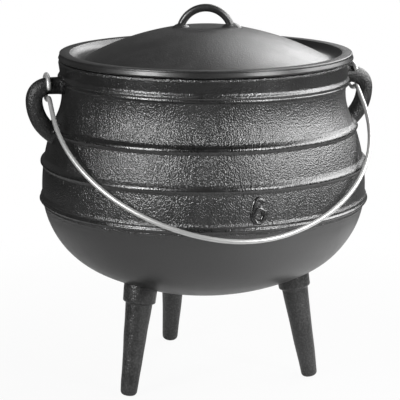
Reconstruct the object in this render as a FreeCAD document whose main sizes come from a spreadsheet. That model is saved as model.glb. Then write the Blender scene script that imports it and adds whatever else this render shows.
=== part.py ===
"""Three-legged cast iron cauldron with a domed lid and a wire bail.

The pot is one casting: bellied wall with four beads, two ear loops, three
splayed legs with collars. The lid is a second casting with a bent rod set in
it as a handle. The bail hooks round the upper bars of the ears and swings.
Millimetres, +Z up, origin on the ground under the pot's axis, ears on X, and
the bail lying against the front of the belly, on the -Y side.
"""
import FreeCAD
import Part
import math
import os
import Sketcher

# Driving sizes, in millimetres and degrees
SIZES = {
    # wall of the pot: a rise is counted up from the belly's widest level
    "wall": 6.0,
    "belly_radius": 161.3,
    "belly_height": 194.2,
    "shoulder_radius": 88.7,
    "bottom_radius": 248.0,
    "neck_inset": 20.9,
    "neck_rise": 96.3,
    "neck_bend": 55.0,
    "rim_flare": 6.0,
    "rim_rise": 127.8,
    # beads round the wall
    "bead_height": 3.3,
    "bead_width": 10.5,
    "neck_bead_rise": 108.8,
    "upper_bead_rise": 63.0,
    "middle_bead_rise": 28.1,
    "belly_bead_drop": 8.2,
    # ear loops
    "ear_bar": 16.4,
    "ear_rise": 106.2,
    "ear_out": 29.2,
    "ear_corner": 14.0,
    "ear_sweep": 43.0,
    "ear_sweep_angle": 54.0,
    "ear_root": 17.7,
    # legs
    "leg_phase": 94.2,
    "leg_count": 3.0,
    "leg_splay": 10.1,
    "foot_inset": 51.1,
    "foot_width": 15.8,
    "foot_rounding": 4.5,
    "foot_flat": 0.5,
    "leg_top_width": 26.4,
    "collar_width": 32.6,
    "collar_drop": 101.0,
    "collar_rounding": 2.0,
    "leg_insert": 34.0,
    # lid
    "lid_overhang": 2.1,
    "lid_edge": 7.2,
    "lid_edge_rounding": 1.6,
    "lid_ring": 11.3,
    "lid_rise": 30.9,
    "lid_wall": 5.5,
    "plateau_radius": 30.0,
    "dome_radius": 285.0,
    "gutter_width": 15.2,
    "gutter_depth": 6.0,
    "gutter_radius": 10.9,
    "lip_gap": 1.2,
    "lip_width": 16.0,
    "lip_depth": 5.6,
    "lid_shift": 2.3,
    "lid_turn": 15.0,
    # rod handle of the lid
    "rod": 7.6,
    "arch_radius": 25.6,
    "arch_rise": 18.7,
    "rod_seat": 3.6,
    "boss_width": 16.0,
    "boss_rise": 4.0,
    # bail
    "wire": 4.5,
    "hook_gap": 0.4,
    "hook_sag": 1.2,
    "hook_bend": 8.0,
    "left_tip_angle": 6.0,
    "right_tip_angle": -22.0,
    "hook_inset": 12.7,
    "bail_straight": 39.0,
    "bow_inset": 36.9,
    "bail_touch": 64.0,
    "bail_rest_gap": 1.4,
}

SHEET = "Sizes"


class Size:
    """A number together with the sheet expression that gives it."""

    def __init__(self, value, text):
        self.value = float(value)
        self.text = text

    @staticmethod
    def of(other):
        """Turn a bare number into a Size."""
        return other if isinstance(other, Size) else Size(other, repr(float(other)))

    def join(self, sign, other, value):
        return Size(value, "(%s %s %s)" % (self.text, sign, Size.of(other).text))

    def __add__(self, other):
        return self.join("+", other, self.value + Size.of(other).value)

    def __sub__(self, other):
        return self.join("-", other, self.value - Size.of(other).value)

    def __mul__(self, other):
        return self.join("*", other, self.value * Size.of(other).value)

    def __truediv__(self, other):
        return self.join("/", other, self.value / Size.of(other).value)

    def __neg__(self):
        return Size(-self.value, "(0 - %s)" % self.text)


def root(size):
    return Size(math.sqrt(size.value), "sqrt(%s)" % size.text)


def sine(size):
    return Size(math.sin(math.radians(size.value)), "sin(%s)" % size.text)


def cosine(size):
    return Size(math.cos(math.radians(size.value)), "cos(%s)" % size.text)


def tangent(size):
    return Size(math.tan(math.radians(size.value)), "tan(%s)" % size.text)


def slope_angle(rise, run):
    angle = math.degrees(math.atan(rise.value / run.value))
    return Size(angle, "(atan(%s / %s) / 1 deg)" % (rise.text, run.text))


ZERO = Size(0.0, "0")

document = FreeCAD.newDocument("Cauldron")
sheet = document.addObject("Spreadsheet::Sheet", SHEET)
sheet.Label = SHEET


def write_cell(row, name, content):
    sheet.set("A%d" % row, name)
    sheet.set("B%d" % row, content)
    sheet.setAlias("B%d" % row, name)


def driving_sizes():
    """Write each driving size into the sheet and return them as Size objects."""
    sizes = {}
    for row, (name, value) in enumerate(SIZES.items(), start=1):
        write_cell(row, name, "%.4f" % value)
        sizes[name] = Size(value, "%s.%s" % (SHEET, name))
    return sizes


size = driving_sizes()
derived_row = len(SIZES) + 2


def derived(name, value):
    """Keep a worked-out size in the sheet, as a formula, and return it."""
    global derived_row
    derived_row += 1
    write_cell(derived_row, name, "=" + value.text.replace(SHEET + ".", ""))
    return Size(value.value, "%s.%s" % (SHEET, name))


class Point:
    """A corner of an outline, in the sketch's own two directions."""

    def __init__(self, x, y):
        self.x = Size.of(x)
        self.y = Size.of(y)


class Bend:
    """The arc that leaves a corner: its centre, its radius and its sense."""

    def __init__(self, centre, radius, clockwise=False):
        self.centre = centre
        self.radius = radius
        self.clockwise = clockwise


def toward(start, end, distance, span):
    """The point at a distance from start on the line to end, which lies span away."""
    share = distance / span
    return Point(start.x + (end.x - start.x) * share, start.y + (end.y - start.y) * share)


def polar(centre, radius, angle):
    """The point at an angle, counted from the first direction, round a centre."""
    return Point(centre.x + radius * cosine(angle), centre.y + radius * sine(angle))


def bind(sketch, constraint, value, name):
    index = sketch.addConstraint(constraint)
    sketch.renameConstraint(index, name)
    sketch.setExpression("Constraints." + name, value.text)


def pin(sketch, edge, end, point, name):
    """Hold one end of an edge at a point, from the sketch's origin."""
    for letter, kind, value, axis in (("x", "DistanceX", point.x, -2), ("y", "DistanceY", point.y, -1)):
        if value.text == "0":
            sketch.addConstraint(Sketcher.Constraint("PointOnObject", edge, end, axis))
        else:
            constraint = Sketcher.Constraint(kind, -1, 1, edge, end, value.value)
            bind(sketch, constraint, value, "%s_%s" % (name, letter))


def arc_between(start, end, bend):
    """The arc from start to end, as an edge that runs counter-clockwise."""
    first, last = (end, start) if bend.clockwise else (start, end)
    cx, cy = bend.centre.x.value, bend.centre.y.value
    low = math.atan2(first.y.value - cy, first.x.value - cx)
    high = math.atan2(last.y.value - cy, last.x.value - cx)
    if high <= low:
        high += 2.0 * math.pi
    circle = Part.Circle(FreeCAD.Vector(cx, cy, 0), FreeCAD.Vector(0, 0, 1), bend.radius.value)
    return Part.ArcOfCircle(circle, low, high)


def draw(sketch, corners, closed=True):
    """Draw an outline from its corners; each is (name, point, bend or None)."""
    count = len(corners) if closed else len(corners) - 1
    ends = []
    for number in range(count):
        name, start, bend = corners[number]
        end = corners[(number + 1) % len(corners)][1]
        if bend is None:
            vectors = [FreeCAD.Vector(p.x.value, p.y.value, 0) for p in (start, end)]
            edge = sketch.addGeometry(Part.LineSegment(*vectors), False)
            ends.append((edge, 1, 2))
        else:
            edge = sketch.addGeometry(arc_between(start, end, bend), False)
            ends.append((edge, 2, 1) if bend.clockwise else (edge, 1, 2))
            radius = Sketcher.Constraint("Radius", edge, bend.radius.value)
            bind(sketch, radius, bend.radius, name + "_radius")
    for number in range(count):
        edge, head, tail = ends[number]
        pin(sketch, edge, head, corners[number][1], corners[number][0])
        if closed or number + 1 < count:
            following = ends[(number + 1) % count]
            sketch.addConstraint(Sketcher.Constraint("Coincident", edge, tail, following[0], following[1]))
    if not closed:
        pin(sketch, ends[-1][0], ends[-1][2], corners[-1][1], corners[-1][0])


def draw_circle(sketch, centre, radius, name):
    middle = FreeCAD.Vector(centre.x.value, centre.y.value, 0)
    edge = sketch.addGeometry(Part.Circle(middle, FreeCAD.Vector(0, 0, 1), radius.value), False)
    bind(sketch, Sketcher.Constraint("Radius", edge, radius.value), radius, name + "_radius")
    pin(sketch, edge, 3, centre, name)


def new_body(name):
    body = document.addObject("PartDesign::Body", name)
    body.Label = name
    return body


def origin_feature(body, role):
    return next(item for item in body.Origin.OriginFeatures if item.Role == role)


def new_sketch(body, name, role, offset=None):
    """A sketch on one of the body's origin planes, moved along its normal by offset."""
    sketch = body.newObject("Sketcher::SketchObject", name)
    sketch.AttachmentSupport = [(origin_feature(body, role), "")]
    sketch.MapMode = "FlatFace"
    if offset is not None:
        sketch.AttachmentOffset = FreeCAD.Placement(FreeCAD.Vector(0, 0, offset.value), FreeCAD.Rotation())
        sketch.setExpression("AttachmentOffset.Base.z", offset.text)
    return sketch


def turned(body, sketch, kind, name):
    """Turn a sketch about its vertical axis, adding (Revolution) or cutting (Groove)."""
    feature = body.newObject("PartDesign::" + kind, name)
    feature.Profile = sketch
    feature.ReferenceAxis = (sketch, ["V_Axis"])
    feature.Angle = 360.0
    sketch.Visibility = False
    document.recompute()
    return feature


def swept(body, section, path, kind, name):
    """Sweep a section sketch along a path sketch."""
    feature = body.newObject("PartDesign::" + kind, name)
    feature.Profile = section
    feature.Spine = (path, ["Edge%d" % (i + 1) for i in range(path.GeometryCount)])
    feature.Transition = "Right corner"
    document.recompute()
    return feature


def mirrored(body, originals, name):
    """Repeat features on the other side of the body's YZ plane."""
    feature = body.newObject("PartDesign::Mirrored", name)
    feature.Originals = originals
    feature.MirrorPlane = (origin_feature(body, "YZ_Plane"), [""])
    body.Tip = feature
    document.recompute()
    return feature


# Wall of the pot: a bottom arc and a shoulder arc that meet smoothly, an upper
# arc from the belly to the neck, a hollow neck arc and a straight flared rim

belly_height = size["belly_height"]
neck_radius = derived("neck_radius", size["belly_radius"] - size["neck_inset"])
neck_height = derived("neck_height", belly_height + size["neck_rise"])
rim_height = derived("rim_height", belly_height + size["rim_rise"])

bottom_gap = size["bottom_radius"] - size["shoulder_radius"]
shoulder_centre = Point(size["belly_radius"] - size["shoulder_radius"], belly_height)
bottom_drop = root(bottom_gap * bottom_gap - shoulder_centre.x * shoulder_centre.x)
bottom_centre = Point(ZERO, derived("bottom_centre_height", belly_height + bottom_drop))

neck_centre_radius = derived("neck_centre_radius", neck_radius + size["neck_bend"])
neck_centre = Point(neck_centre_radius, neck_height)
neck_out = neck_centre.x - size["belly_radius"]
neck_up = neck_centre.y - belly_height
upper_radius = derived(
    "upper_radius",
    (neck_out * neck_out + neck_up * neck_up - size["neck_bend"] * size["neck_bend"])
    / ((size["neck_bend"] - neck_out) * 2.0),
)
upper_centre_radius = derived("upper_centre_radius", size["belly_radius"] - upper_radius)
upper_centre = Point(upper_centre_radius, belly_height)
upper_span = derived("upper_span", upper_radius + size["neck_bend"])


def wall_corners(inset):
    """Corners of the wall's section, set in by a distance from its outer face."""
    bottom = size["bottom_radius"] - inset
    shoulder = size["shoulder_radius"] - inset
    upper = upper_radius - inset
    neck = size["neck_bend"] + inset
    lower_joint = toward(bottom_centre, shoulder_centre, bottom, bottom_gap)
    upper_joint = toward(upper_centre, neck_centre, upper, upper_span)
    neck_end = Point(
        neck_centre.x - neck * cosine(size["rim_flare"]),
        neck_centre.y + neck * sine(size["rim_flare"]),
    )
    return [
        ("base", Point(ZERO, bottom_centre.y - bottom), Bend(bottom_centre, bottom)),
        ("lower_joint", lower_joint, Bend(shoulder_centre, shoulder)),
        ("belly", Point(size["belly_radius"] - inset, belly_height), Bend(upper_centre, upper)),
        ("upper_joint", upper_joint, Bend(neck_centre, neck, clockwise=True)),
        ("neck_end", neck_end, None),
    ]


def rim_point(corners, height):
    """Where the flared rim line of a wall section reaches a height."""
    neck_end = corners[-1][1]
    return Point(neck_end.x + (height - neck_end.y) * tangent(size["rim_flare"]), height)


outer_corners = wall_corners(ZERO)
inner_corners = wall_corners(size["wall"])
rim_outer = derived("rim_outer_radius", rim_point(outer_corners, rim_height).x)
mouth_radius = derived("mouth_radius", rim_point(inner_corners, rim_height).x)


def bead_on_rim(name, rise):
    """A bead's place on the flared rim: its level and the wall's outer radius there."""
    level = derived(name + "_level", belly_height + rise)
    return Point(derived(name + "_wall", rim_point(outer_corners, level).x), level)


def bead_on_arc(name, rise, centre, radius):
    """A bead's place on an arc of the wall that is centred on the belly's level."""
    level = derived(name + "_level", belly_height + rise)
    wall = centre.x + root(radius * radius - rise * rise)
    return Point(derived(name + "_wall", wall), level)


shoulder = size["shoulder_radius"]
BEADS = {
    "neck_bead": bead_on_rim("neck_bead", size["neck_bead_rise"]),
    "upper_bead": bead_on_arc("upper_bead", size["upper_bead_rise"], upper_centre, upper_radius),
    "middle_bead": bead_on_arc("middle_bead", size["middle_bead_rise"], upper_centre, upper_radius),
    "belly_bead": bead_on_arc("belly_bead", -size["belly_bead_drop"], shoulder_centre, shoulder),
}


def add_wall(body):
    """The outer body of the pot, still full inside."""
    sketch = new_sketch(body, "wall_section", "XZ_Plane")
    top = Point(rim_outer, rim_height)
    draw(sketch, outer_corners + [("rim", top, None), ("rim_axis", Point(ZERO, rim_height), None)])
    turned(body, sketch, "Revolution", "wall_turn")


def add_bead(body, name, place):
    """One half-round bead, sunk a little into the wall."""
    half = size["bead_width"] / 2.0
    level = place.y
    base = place.x
    crown = (half * half + size["bead_height"] * size["bead_height"]) / (size["bead_height"] * 2.0)
    centre = Point(base + size["bead_height"] - crown, level)
    sunk = base - size["wall"] / 2.0
    sketch = new_sketch(body, name + "_section", "XZ_Plane")
    draw(sketch, [
        ("low_root", Point(sunk, level - half), None),
        ("low", Point(base, level - half), Bend(centre, crown)),
        ("high", Point(base, level + half), None),
        ("high_root", Point(sunk, level + half), None),
    ])
    turned(body, sketch, "Revolution", name + "_turn")


ear_level = derived("ear_level", belly_height + size["ear_rise"])
ear_reach = derived("ear_reach", neck_radius + size["ear_out"])


def add_ears(body):
    """An ear loop swept along a straight bar, a corner, an inward sweep and a root in the wall."""
    start = Point(neck_radius - size["wall"] - size["ear_bar"], ear_level)
    corner_centre = Point(ear_reach - size["ear_corner"], ear_level - size["ear_corner"])
    sweep_centre = Point(ear_reach - size["ear_sweep"], corner_centre.y)
    sweep_end = polar(sweep_centre, size["ear_sweep"], -size["ear_sweep_angle"])
    root_end = derived("ear_root_end", size["belly_radius"] - size["ear_root"])
    root_fall = derived("ear_root_fall", (sweep_end.x - root_end) / tangent(size["ear_sweep_angle"]))
    inward = Point(root_end, sweep_end.y - root_fall)
    corner = Bend(corner_centre, size["ear_corner"], True)
    sweep = Bend(sweep_centre, size["ear_sweep"], True)
    path = new_sketch(body, "ear_path", "XZ_Plane")
    draw(path, [
        ("bar", start, None),
        ("corner", Point(corner_centre.x, ear_level), corner),
        ("side", Point(ear_reach, corner_centre.y), sweep),
        ("root", sweep_end, None),
        ("root_end", inward, None),
    ], closed=False)
    section = new_sketch(body, "ear_section", "YZ_Plane", start.x)
    draw_circle(section, Point(ZERO, ear_level), size["ear_bar"] / 2.0, "bar")
    ear = swept(body, section, path, "AdditivePipe", "ear_sweep")
    mirrored(body, [ear], "ear_pair")


foot_radius = derived("foot_radius", size["belly_radius"] - size["foot_inset"])
collar_level = derived("collar_level", belly_height - size["collar_drop"])


def leg_point(along, out):
    """A point of the leg's section: a length up its axis and a distance out from it."""
    return Point(
        foot_radius - along * sine(size["leg_splay"]) + out * cosine(size["leg_splay"]),
        along * cosine(size["leg_splay"]) + out * sine(size["leg_splay"]),
    )


def add_legs(body):
    """One splayed leg with its collar, repeated round the pot's axis."""
    foot = size["foot_width"] / 2.0
    rounding = size["foot_rounding"]
    lowest = rounding + (foot - rounding) * sine(size["leg_splay"]) - size["foot_flat"]
    end = derived("foot_end", lowest / cosine(size["leg_splay"]) - rounding)
    collar_start = derived("collar_start", collar_level / cosine(size["leg_splay"]))
    collar = size["collar_width"] / 2.0
    soft = size["collar_rounding"]
    top = collar_start + size["leg_insert"]
    foot_bend = Bend(leg_point(end + rounding, foot - rounding), rounding)
    collar_bend = Bend(leg_point(collar_start + soft, collar - soft), soft)
    sketch = new_sketch(body, "leg_section", "XZ_Plane")
    draw(sketch, [
        ("foot_axis", leg_point(end, ZERO), None),
        ("foot_face", leg_point(end, foot - rounding), foot_bend),
        ("foot_side", leg_point(end + rounding, foot), None),
        ("leg_top", leg_point(collar_start, size["leg_top_width"] / 2.0), None),
        ("collar_face", leg_point(collar_start, collar - soft), collar_bend),
        ("collar_side", leg_point(collar_start + soft, collar), None),
        ("collar_top", leg_point(top, collar), None),
        ("top_axis", leg_point(top, ZERO), None),
    ])
    axis = sketch.addGeometry(Part.LineSegment(FreeCAD.Vector(0, 0, 0), FreeCAD.Vector(0, 1, 0)), True)
    sketch.addConstraint(Sketcher.Constraint("Coincident", axis, 1, 0, 1))
    last_edge = sketch.GeometryCount - 2
    sketch.addConstraint(Sketcher.Constraint("Coincident", axis, 2, last_edge, 1))
    sketch.AttachmentOffset = FreeCAD.Placement(
        FreeCAD.Vector(0, 0, 0), FreeCAD.Rotation(FreeCAD.Vector(0, 1, 0), SIZES["leg_phase"])
    )
    sketch.setExpression("AttachmentOffset.Rotation.Angle", size["leg_phase"].text)
    leg = body.newObject("PartDesign::Revolution", "leg_turn")
    leg.Profile = sketch
    leg.ReferenceAxis = (sketch, ["Axis0"])
    leg.Angle = 360.0
    document.recompute()
    legs = body.newObject("PartDesign::PolarPattern", "leg_set")
    legs.Originals = [leg]
    legs.Axis = (origin_feature(body, "Z_Axis"), [""])
    legs.Angle = 360.0
    legs.setExpression("Occurrences", size["leg_count"].text)
    body.Tip = legs
    document.recompute()


def trim_feet(body):
    """Cut the rounded feet level with the ground, which leaves a small flat on each."""
    sketch = new_sketch(body, "ground_section", "XZ_Plane")
    reach = foot_radius + size["foot_width"]
    low = -size["foot_width"]
    draw(sketch, [
        ("centre_low", Point(ZERO, low), None),
        ("edge_low", Point(reach, low), None),
        ("edge", Point(reach, ZERO), None),
        ("centre", Point(ZERO, ZERO), None),
    ])
    turned(body, sketch, "Groove", "ground_cut")


def hollow(body):
    """Cut the inside of the pot at a constant distance from its outer face."""
    above = rim_height + size["wall"]
    sketch = new_sketch(body, "hollow_section", "XZ_Plane")
    top = rim_point(inner_corners, above)
    draw(sketch, inner_corners + [("mouth", top, None), ("mouth_axis", Point(ZERO, above), None)])
    turned(body, sketch, "Groove", "hollow_cut")


def make_pot():
    body = new_body("pot")
    add_wall(body)
    for name, place in BEADS.items():
        add_bead(body, name, place)
    add_ears(body)
    add_legs(body)
    trim_feet(body)
    hollow(body)
    return body


# Lid: a ring that rests on the rim, a gutter, a dome with a flat top, a
# locating lip that drops into the mouth, and two bosses for the handle's rod

lid_radius = derived("lid_radius", rim_outer + size["lid_overhang"])
lid_base = rim_height
ring_top = derived("ring_top", lid_base + size["lid_edge"])
lid_top = derived("lid_top", lid_base + size["lid_rise"])
ring_inner = derived("ring_inner", lid_radius - size["lid_ring"])
dome_foot = Point(
    derived("dome_foot_radius", ring_inner - size["gutter_width"]),
    derived("dome_foot_height", ring_top - size["gutter_depth"]),
)
lip_clearance = size["lip_gap"] + size["lid_shift"] + size["lip_depth"] * tangent(size["rim_flare"])
lip_radius = derived("lip_radius", mouth_radius - lip_clearance)
lip_inner = lip_radius - size["lip_width"]


def arc_centre(start, end, radius, left):
    """Centre of the arc of a radius through two points, on the left or right of their line."""
    out = end.x - start.x
    up = end.y - start.y
    chord = root(out * out + up * up)
    height = root(radius * radius - chord * chord / 4.0)
    sign = 1.0 if left else -1.0
    middle = Point((start.x + end.x) / 2.0, (start.y + end.y) / 2.0)
    return Point(middle.x - up * height * sign / chord, middle.y + out * height * sign / chord)


def add_lid_plate(body):
    top = size["lid_wall"]
    soft = size["lid_edge_rounding"]
    plateau_edge = Point(size["plateau_radius"], lid_top)
    ring_edge = Point(ring_inner, ring_top)
    under_edge = Point(size["plateau_radius"], lid_top - top)
    under_foot = Point(lip_inner, lid_base - size["lip_depth"])
    under_radius = size["dome_radius"] - top
    under = Bend(arc_centre(under_edge, under_foot, under_radius, False), under_radius, True)
    gutter_centre = arc_centre(ring_edge, dome_foot, size["gutter_radius"], False)
    dome_centre = arc_centre(dome_foot, plateau_edge, size["dome_radius"], True)
    low_bend = Bend(Point(lid_radius - soft, lid_base + soft), soft)
    high_bend = Bend(Point(lid_radius - soft, ring_top - soft), soft)
    sketch = new_sketch(body, "lid_section", "XZ_Plane")
    draw(sketch, [
        ("under_axis", Point(ZERO, lid_top - top), None),
        ("under_edge", under_edge, under),
        ("lip_inside", under_foot, None),
        ("lip_outside", Point(lip_radius, lid_base - size["lip_depth"]), None),
        ("seat", Point(lip_radius, lid_base), None),
        ("edge_low", Point(lid_radius - soft, lid_base), low_bend),
        ("edge", Point(lid_radius, lid_base + soft), None),
        ("edge_high", Point(lid_radius, ring_top - soft), high_bend),
        ("ring", Point(lid_radius - soft, ring_top), None),
        ("ring_inner", ring_edge, Bend(gutter_centre, size["gutter_radius"], True)),
        ("dome_foot", dome_foot, Bend(dome_centre, size["dome_radius"])),
        ("plateau", plateau_edge, None),
        ("top_axis", Point(ZERO, lid_top), None),
    ])
    turned(body, sketch, "Revolution", "lid_turn_plate")


arch_crown = lid_top + size["arch_rise"]
arch_centre = Point(ZERO, derived("arch_centre_height", arch_crown - size["arch_radius"]))
arch_end_height = lid_top - size["rod_seat"]
arch_drop = arch_end_height - arch_centre.y
arch_half = derived("arch_half", root(size["arch_radius"] * size["arch_radius"] - arch_drop * arch_drop))


def rod_sketches(body, prefix):
    """Path and section of the bent rod, the same in the handle and in the lid's sockets."""
    path = new_sketch(body, prefix + "_path", "XZ_Plane")
    bend = Bend(arch_centre, size["arch_radius"], True)
    draw(path, [
        ("left_end", Point(-arch_half, arch_end_height), bend),
        ("crown", Point(ZERO, arch_crown), bend),
        ("right_end", Point(arch_half, arch_end_height), None),
    ], closed=False)
    section = new_sketch(body, prefix + "_section", "YZ_Plane")
    draw_circle(section, Point(ZERO, arch_crown), size["rod"] / 2.0, "rod")
    return path, section


def add_bosses(body):
    """A low round boss on the plateau for each end of the rod."""
    boss = body.newObject("PartDesign::AdditiveCone", "boss")
    boss.AttachmentSupport = [(origin_feature(body, "XY_Plane"), "")]
    boss.MapMode = "FlatFace"
    boss.setExpression("AttachmentOffset.Base.x", arch_half.text)
    boss.setExpression("AttachmentOffset.Base.z", (lid_top - size["lid_wall"] / 2.0).text)
    boss.setExpression("Radius1", (size["boss_width"] / 2.0).text)
    boss.setExpression("Radius2", (size["boss_width"] / 2.0 - size["boss_rise"]).text)
    boss.setExpression("Height", (size["boss_rise"] + size["lid_wall"] / 2.0).text)
    document.recompute()
    mirrored(body, [boss], "boss_pair")


def place_lid(body):
    """Turn the lid's pieces about the pot's axis and let them sit a little off it."""
    body.Placement = FreeCAD.Placement(
        FreeCAD.Vector(0, 0, 0), FreeCAD.Rotation(FreeCAD.Vector(0, 0, -1), SIZES["lid_turn"])
    )
    shift = size["lid_shift"]
    body.setExpression("Placement.Rotation.Angle", size["lid_turn"].text)
    body.setExpression("Placement.Base.x", (shift * cosine(size["lid_turn"])).text)
    body.setExpression("Placement.Base.y", (-(shift * sine(size["lid_turn"]))).text)
    document.recompute()


def make_lid():
    body = new_body("lid")
    add_lid_plate(body)
    add_bosses(body)
    path, section = rod_sketches(body, "socket")
    swept(body, section, path, "SubtractivePipe", "sockets")
    place_lid(body)
    return body


def make_lid_handle():
    body = new_body("lid_handle")
    path, section = rod_sketches(body, "rod")
    swept(body, section, path, "AdditivePipe", "rod_sweep")
    place_lid(body)
    return body


# Bail: a bow of wire in one plane, with a hook at each end wound round the
# ear's bar, drawn hanging straight down from the hinge axis and then leaned

hook_clearance = size["hook_gap"] + size["hook_sag"]
hook_radius = derived("hook_radius", (size["ear_bar"] + size["wire"]) / 2.0 + hook_clearance)
hinge_height = derived("hinge_height", ear_level - size["hook_sag"])
bail_half_span = derived("bail_half_span", ear_reach - size["hook_inset"])
hook_reach = hook_radius + size["hook_bend"]
hook_drop = derived("hook_drop", root(hook_reach * hook_reach - size["hook_bend"] * size["hook_bend"]))

# At rest the wire lies a small gap off the belly bead, at bail_touch from the
# middle: that gives the lean, and the side arc that passes through the place
touch_radius = derived(
    "touch_radius", BEADS["belly_bead"].x + size["bead_height"] + size["wire"] / 2.0 + size["bail_rest_gap"]
)
touch = size["bail_touch"]
touch_out = derived("touch_out", root(touch_radius * touch_radius - touch * touch))
touch_fall = derived("touch_fall", hinge_height - BEADS["belly_bead"].y)
touch_down = derived("touch_down", root(touch_out * touch_out + touch_fall * touch_fall))
bail_lean = derived("bail_lean", slope_angle(touch_out, touch_fall))
touch_in = bail_half_span - touch
touch_under = touch_down - size["bail_straight"]


def add_bow(body):
    half = bail_half_span
    bow = derived("bow_radius", half - size["bow_inset"])
    side = derived("side_radius", (touch_in * touch_in + touch_under * touch_under) / (touch_in * 2.0))
    below = root((side - bow) * (side - bow) - (side - half) * (side - half))
    bow_down = derived("bow_centre_drop", size["bail_straight"] + below)
    side_centre = Point(half - side, -size["bail_straight"])
    bow_centre = Point(ZERO, -bow_down)
    joint = toward(side_centre, bow_centre, side, side - bow)
    far_joint = Point(-joint.x, joint.y)
    far_centre = Point(-side_centre.x, side_centre.y)
    path = new_sketch(body, "bow_path", "XZ_Plane")
    draw(path, [
        ("right_hook", Point(half, -hook_drop), None),
        ("right_side", Point(half, side_centre.y), Bend(side_centre, side, True)),
        ("right_joint", joint, Bend(bow_centre, bow, True)),
        ("left_joint", far_joint, Bend(far_centre, side, True)),
        ("left_side", Point(-half, side_centre.y), None),
        ("left_hook", Point(-half, -hook_drop), None),
    ], closed=False)
    section = new_sketch(body, "wire_section", "XY_Plane", -hook_drop)
    draw_circle(section, Point(half, ZERO), size["wire"] / 2.0, "wire")
    swept(body, section, path, "AdditivePipe", "bow_sweep")


def add_hook(body, name, across, tip_below):
    """A hook: a back bend off the bow's line, then a ring round the hinge axis to a tip."""
    axis = Point(ZERO, ZERO)
    bend_centre = Point(size["hook_bend"], -hook_drop)
    leave = toward(axis, bend_centre, hook_radius, hook_reach)
    tip_angle = derived(name + "_tip", bail_lean + tip_below)
    tip = Point(-(hook_radius * cosine(tip_angle)), -(hook_radius * sine(tip_angle)))
    ring = Bend(axis, hook_radius)
    path = new_sketch(body, name + "_path", "YZ_Plane", across)
    draw(path, [
        ("start", Point(ZERO, -hook_drop), Bend(bend_centre, size["hook_bend"], True)),
        ("leave", leave, ring),
        ("over", Point(ZERO, hook_radius), ring),
        ("tip", tip, None),
    ], closed=False)
    section = new_sketch(body, name + "_section", "XY_Plane", -hook_drop)
    draw_circle(section, Point(across, ZERO), size["wire"] / 2.0, "wire")
    swept(body, section, path, "AdditivePipe", name + "_sweep")


def make_bail():
    body = new_body("bail")
    add_bow(body)
    add_hook(body, "right_hook", bail_half_span, size["right_tip_angle"])
    add_hook(body, "left_hook", -bail_half_span, size["left_tip_angle"])
    lean = FreeCAD.Rotation(FreeCAD.Vector(-1, 0, 0), bail_lean.value)
    body.Placement = FreeCAD.Placement(FreeCAD.Vector(0, 0, hinge_height.value), lean)
    body.setExpression("Placement.Base.z", hinge_height.text)
    body.setExpression("Placement.Rotation.Angle", bail_lean.text)
    document.recompute()
    return body


def check(bodies):
    """Stop on any failed object and any body without a valid solid."""
    for item in document.Objects:
        if "Invalid" in item.State or "Error" in item.State:
            raise RuntimeError("%s failed: %s" % (item.Name, item.State))
    for body in bodies:
        shape = body.Shape
        if shape.isNull() or not shape.isValid() or len(shape.Solids) != 1:
            raise RuntimeError("%s has no single valid solid" % body.Label)
        box = shape.BoundBox
        print("%-12s %9.1f cm3  x %.1f %.1f  y %.1f %.1f  z %.1f %.1f" % (
            body.Label, shape.Volume / 1000.0, box.XMin, box.XMax, box.YMin, box.YMax, box.ZMin, box.ZMax))


def main():
    bodies = [make_pot(), make_lid(), make_lid_handle(), make_bail()]
    document.recompute()
    check(bodies)
    os.makedirs("parts", exist_ok=True)
    for body in bodies:
        body.Shape.exportStep("parts/%s.step" % body.Label)


main()
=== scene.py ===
"""Looks of a three-legged cast iron cauldron with a domed lid and a wire bail.

Sizes are written in millimetres, as on a drawing, and meshes are made in
metres. +Z is up, the ears lie on X and the bail leans on the belly's -Y side.
"""

import enum
import logging
import math
from dataclasses import dataclass, field

import bpy
import numpy as np
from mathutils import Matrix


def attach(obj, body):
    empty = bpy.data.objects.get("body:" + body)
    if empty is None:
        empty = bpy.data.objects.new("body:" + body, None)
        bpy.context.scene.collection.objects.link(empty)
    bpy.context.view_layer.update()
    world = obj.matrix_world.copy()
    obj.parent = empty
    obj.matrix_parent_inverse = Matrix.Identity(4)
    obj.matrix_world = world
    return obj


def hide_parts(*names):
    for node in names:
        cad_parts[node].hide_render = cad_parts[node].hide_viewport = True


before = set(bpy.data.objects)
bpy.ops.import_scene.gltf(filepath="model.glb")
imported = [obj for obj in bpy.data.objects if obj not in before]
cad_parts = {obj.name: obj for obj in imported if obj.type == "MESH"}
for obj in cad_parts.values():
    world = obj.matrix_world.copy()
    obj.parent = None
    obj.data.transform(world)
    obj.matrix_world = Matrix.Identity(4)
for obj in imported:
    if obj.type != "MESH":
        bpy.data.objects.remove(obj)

log = logging.getLogger("cauldron")
MM = 0.001
POT_BODY = "pot"
BAIL_BODY = "bail"
ALONG_Y = np.array([0.0, 1.0, 0.0])

Pair = tuple[float, float]
Triple = tuple[float, float, float]
Colour = tuple[float, float, float, float]


# Curves and meshes

def smoothstep(low: float, high: float, value: np.ndarray) -> np.ndarray:
    """Rise smoothly from 0 at low to 1 at high: 3t^2 - 2t^3 of the clipped share t.

    Args:
        low: Value at which the rise starts.
        high: Value at which it ends; it may be the lower of the two.
        value: Where to work it out.

    Returns:
        The share risen, the same shape as value.
    """
    t = np.clip((value - low) / (high - low), 0.0, 1.0)
    return t * t * (3.0 - 2.0 * t)


def unit(vectors: np.ndarray) -> np.ndarray:
    """Vectors of length one with the same directions."""
    return vectors / np.linalg.norm(vectors, axis=-1, keepdims=True)


def angles(count: int) -> np.ndarray:
    """Even angles round a circle: 2 pi k / count, in radians."""
    return np.arange(count) * 2.0 * np.pi / count


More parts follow.
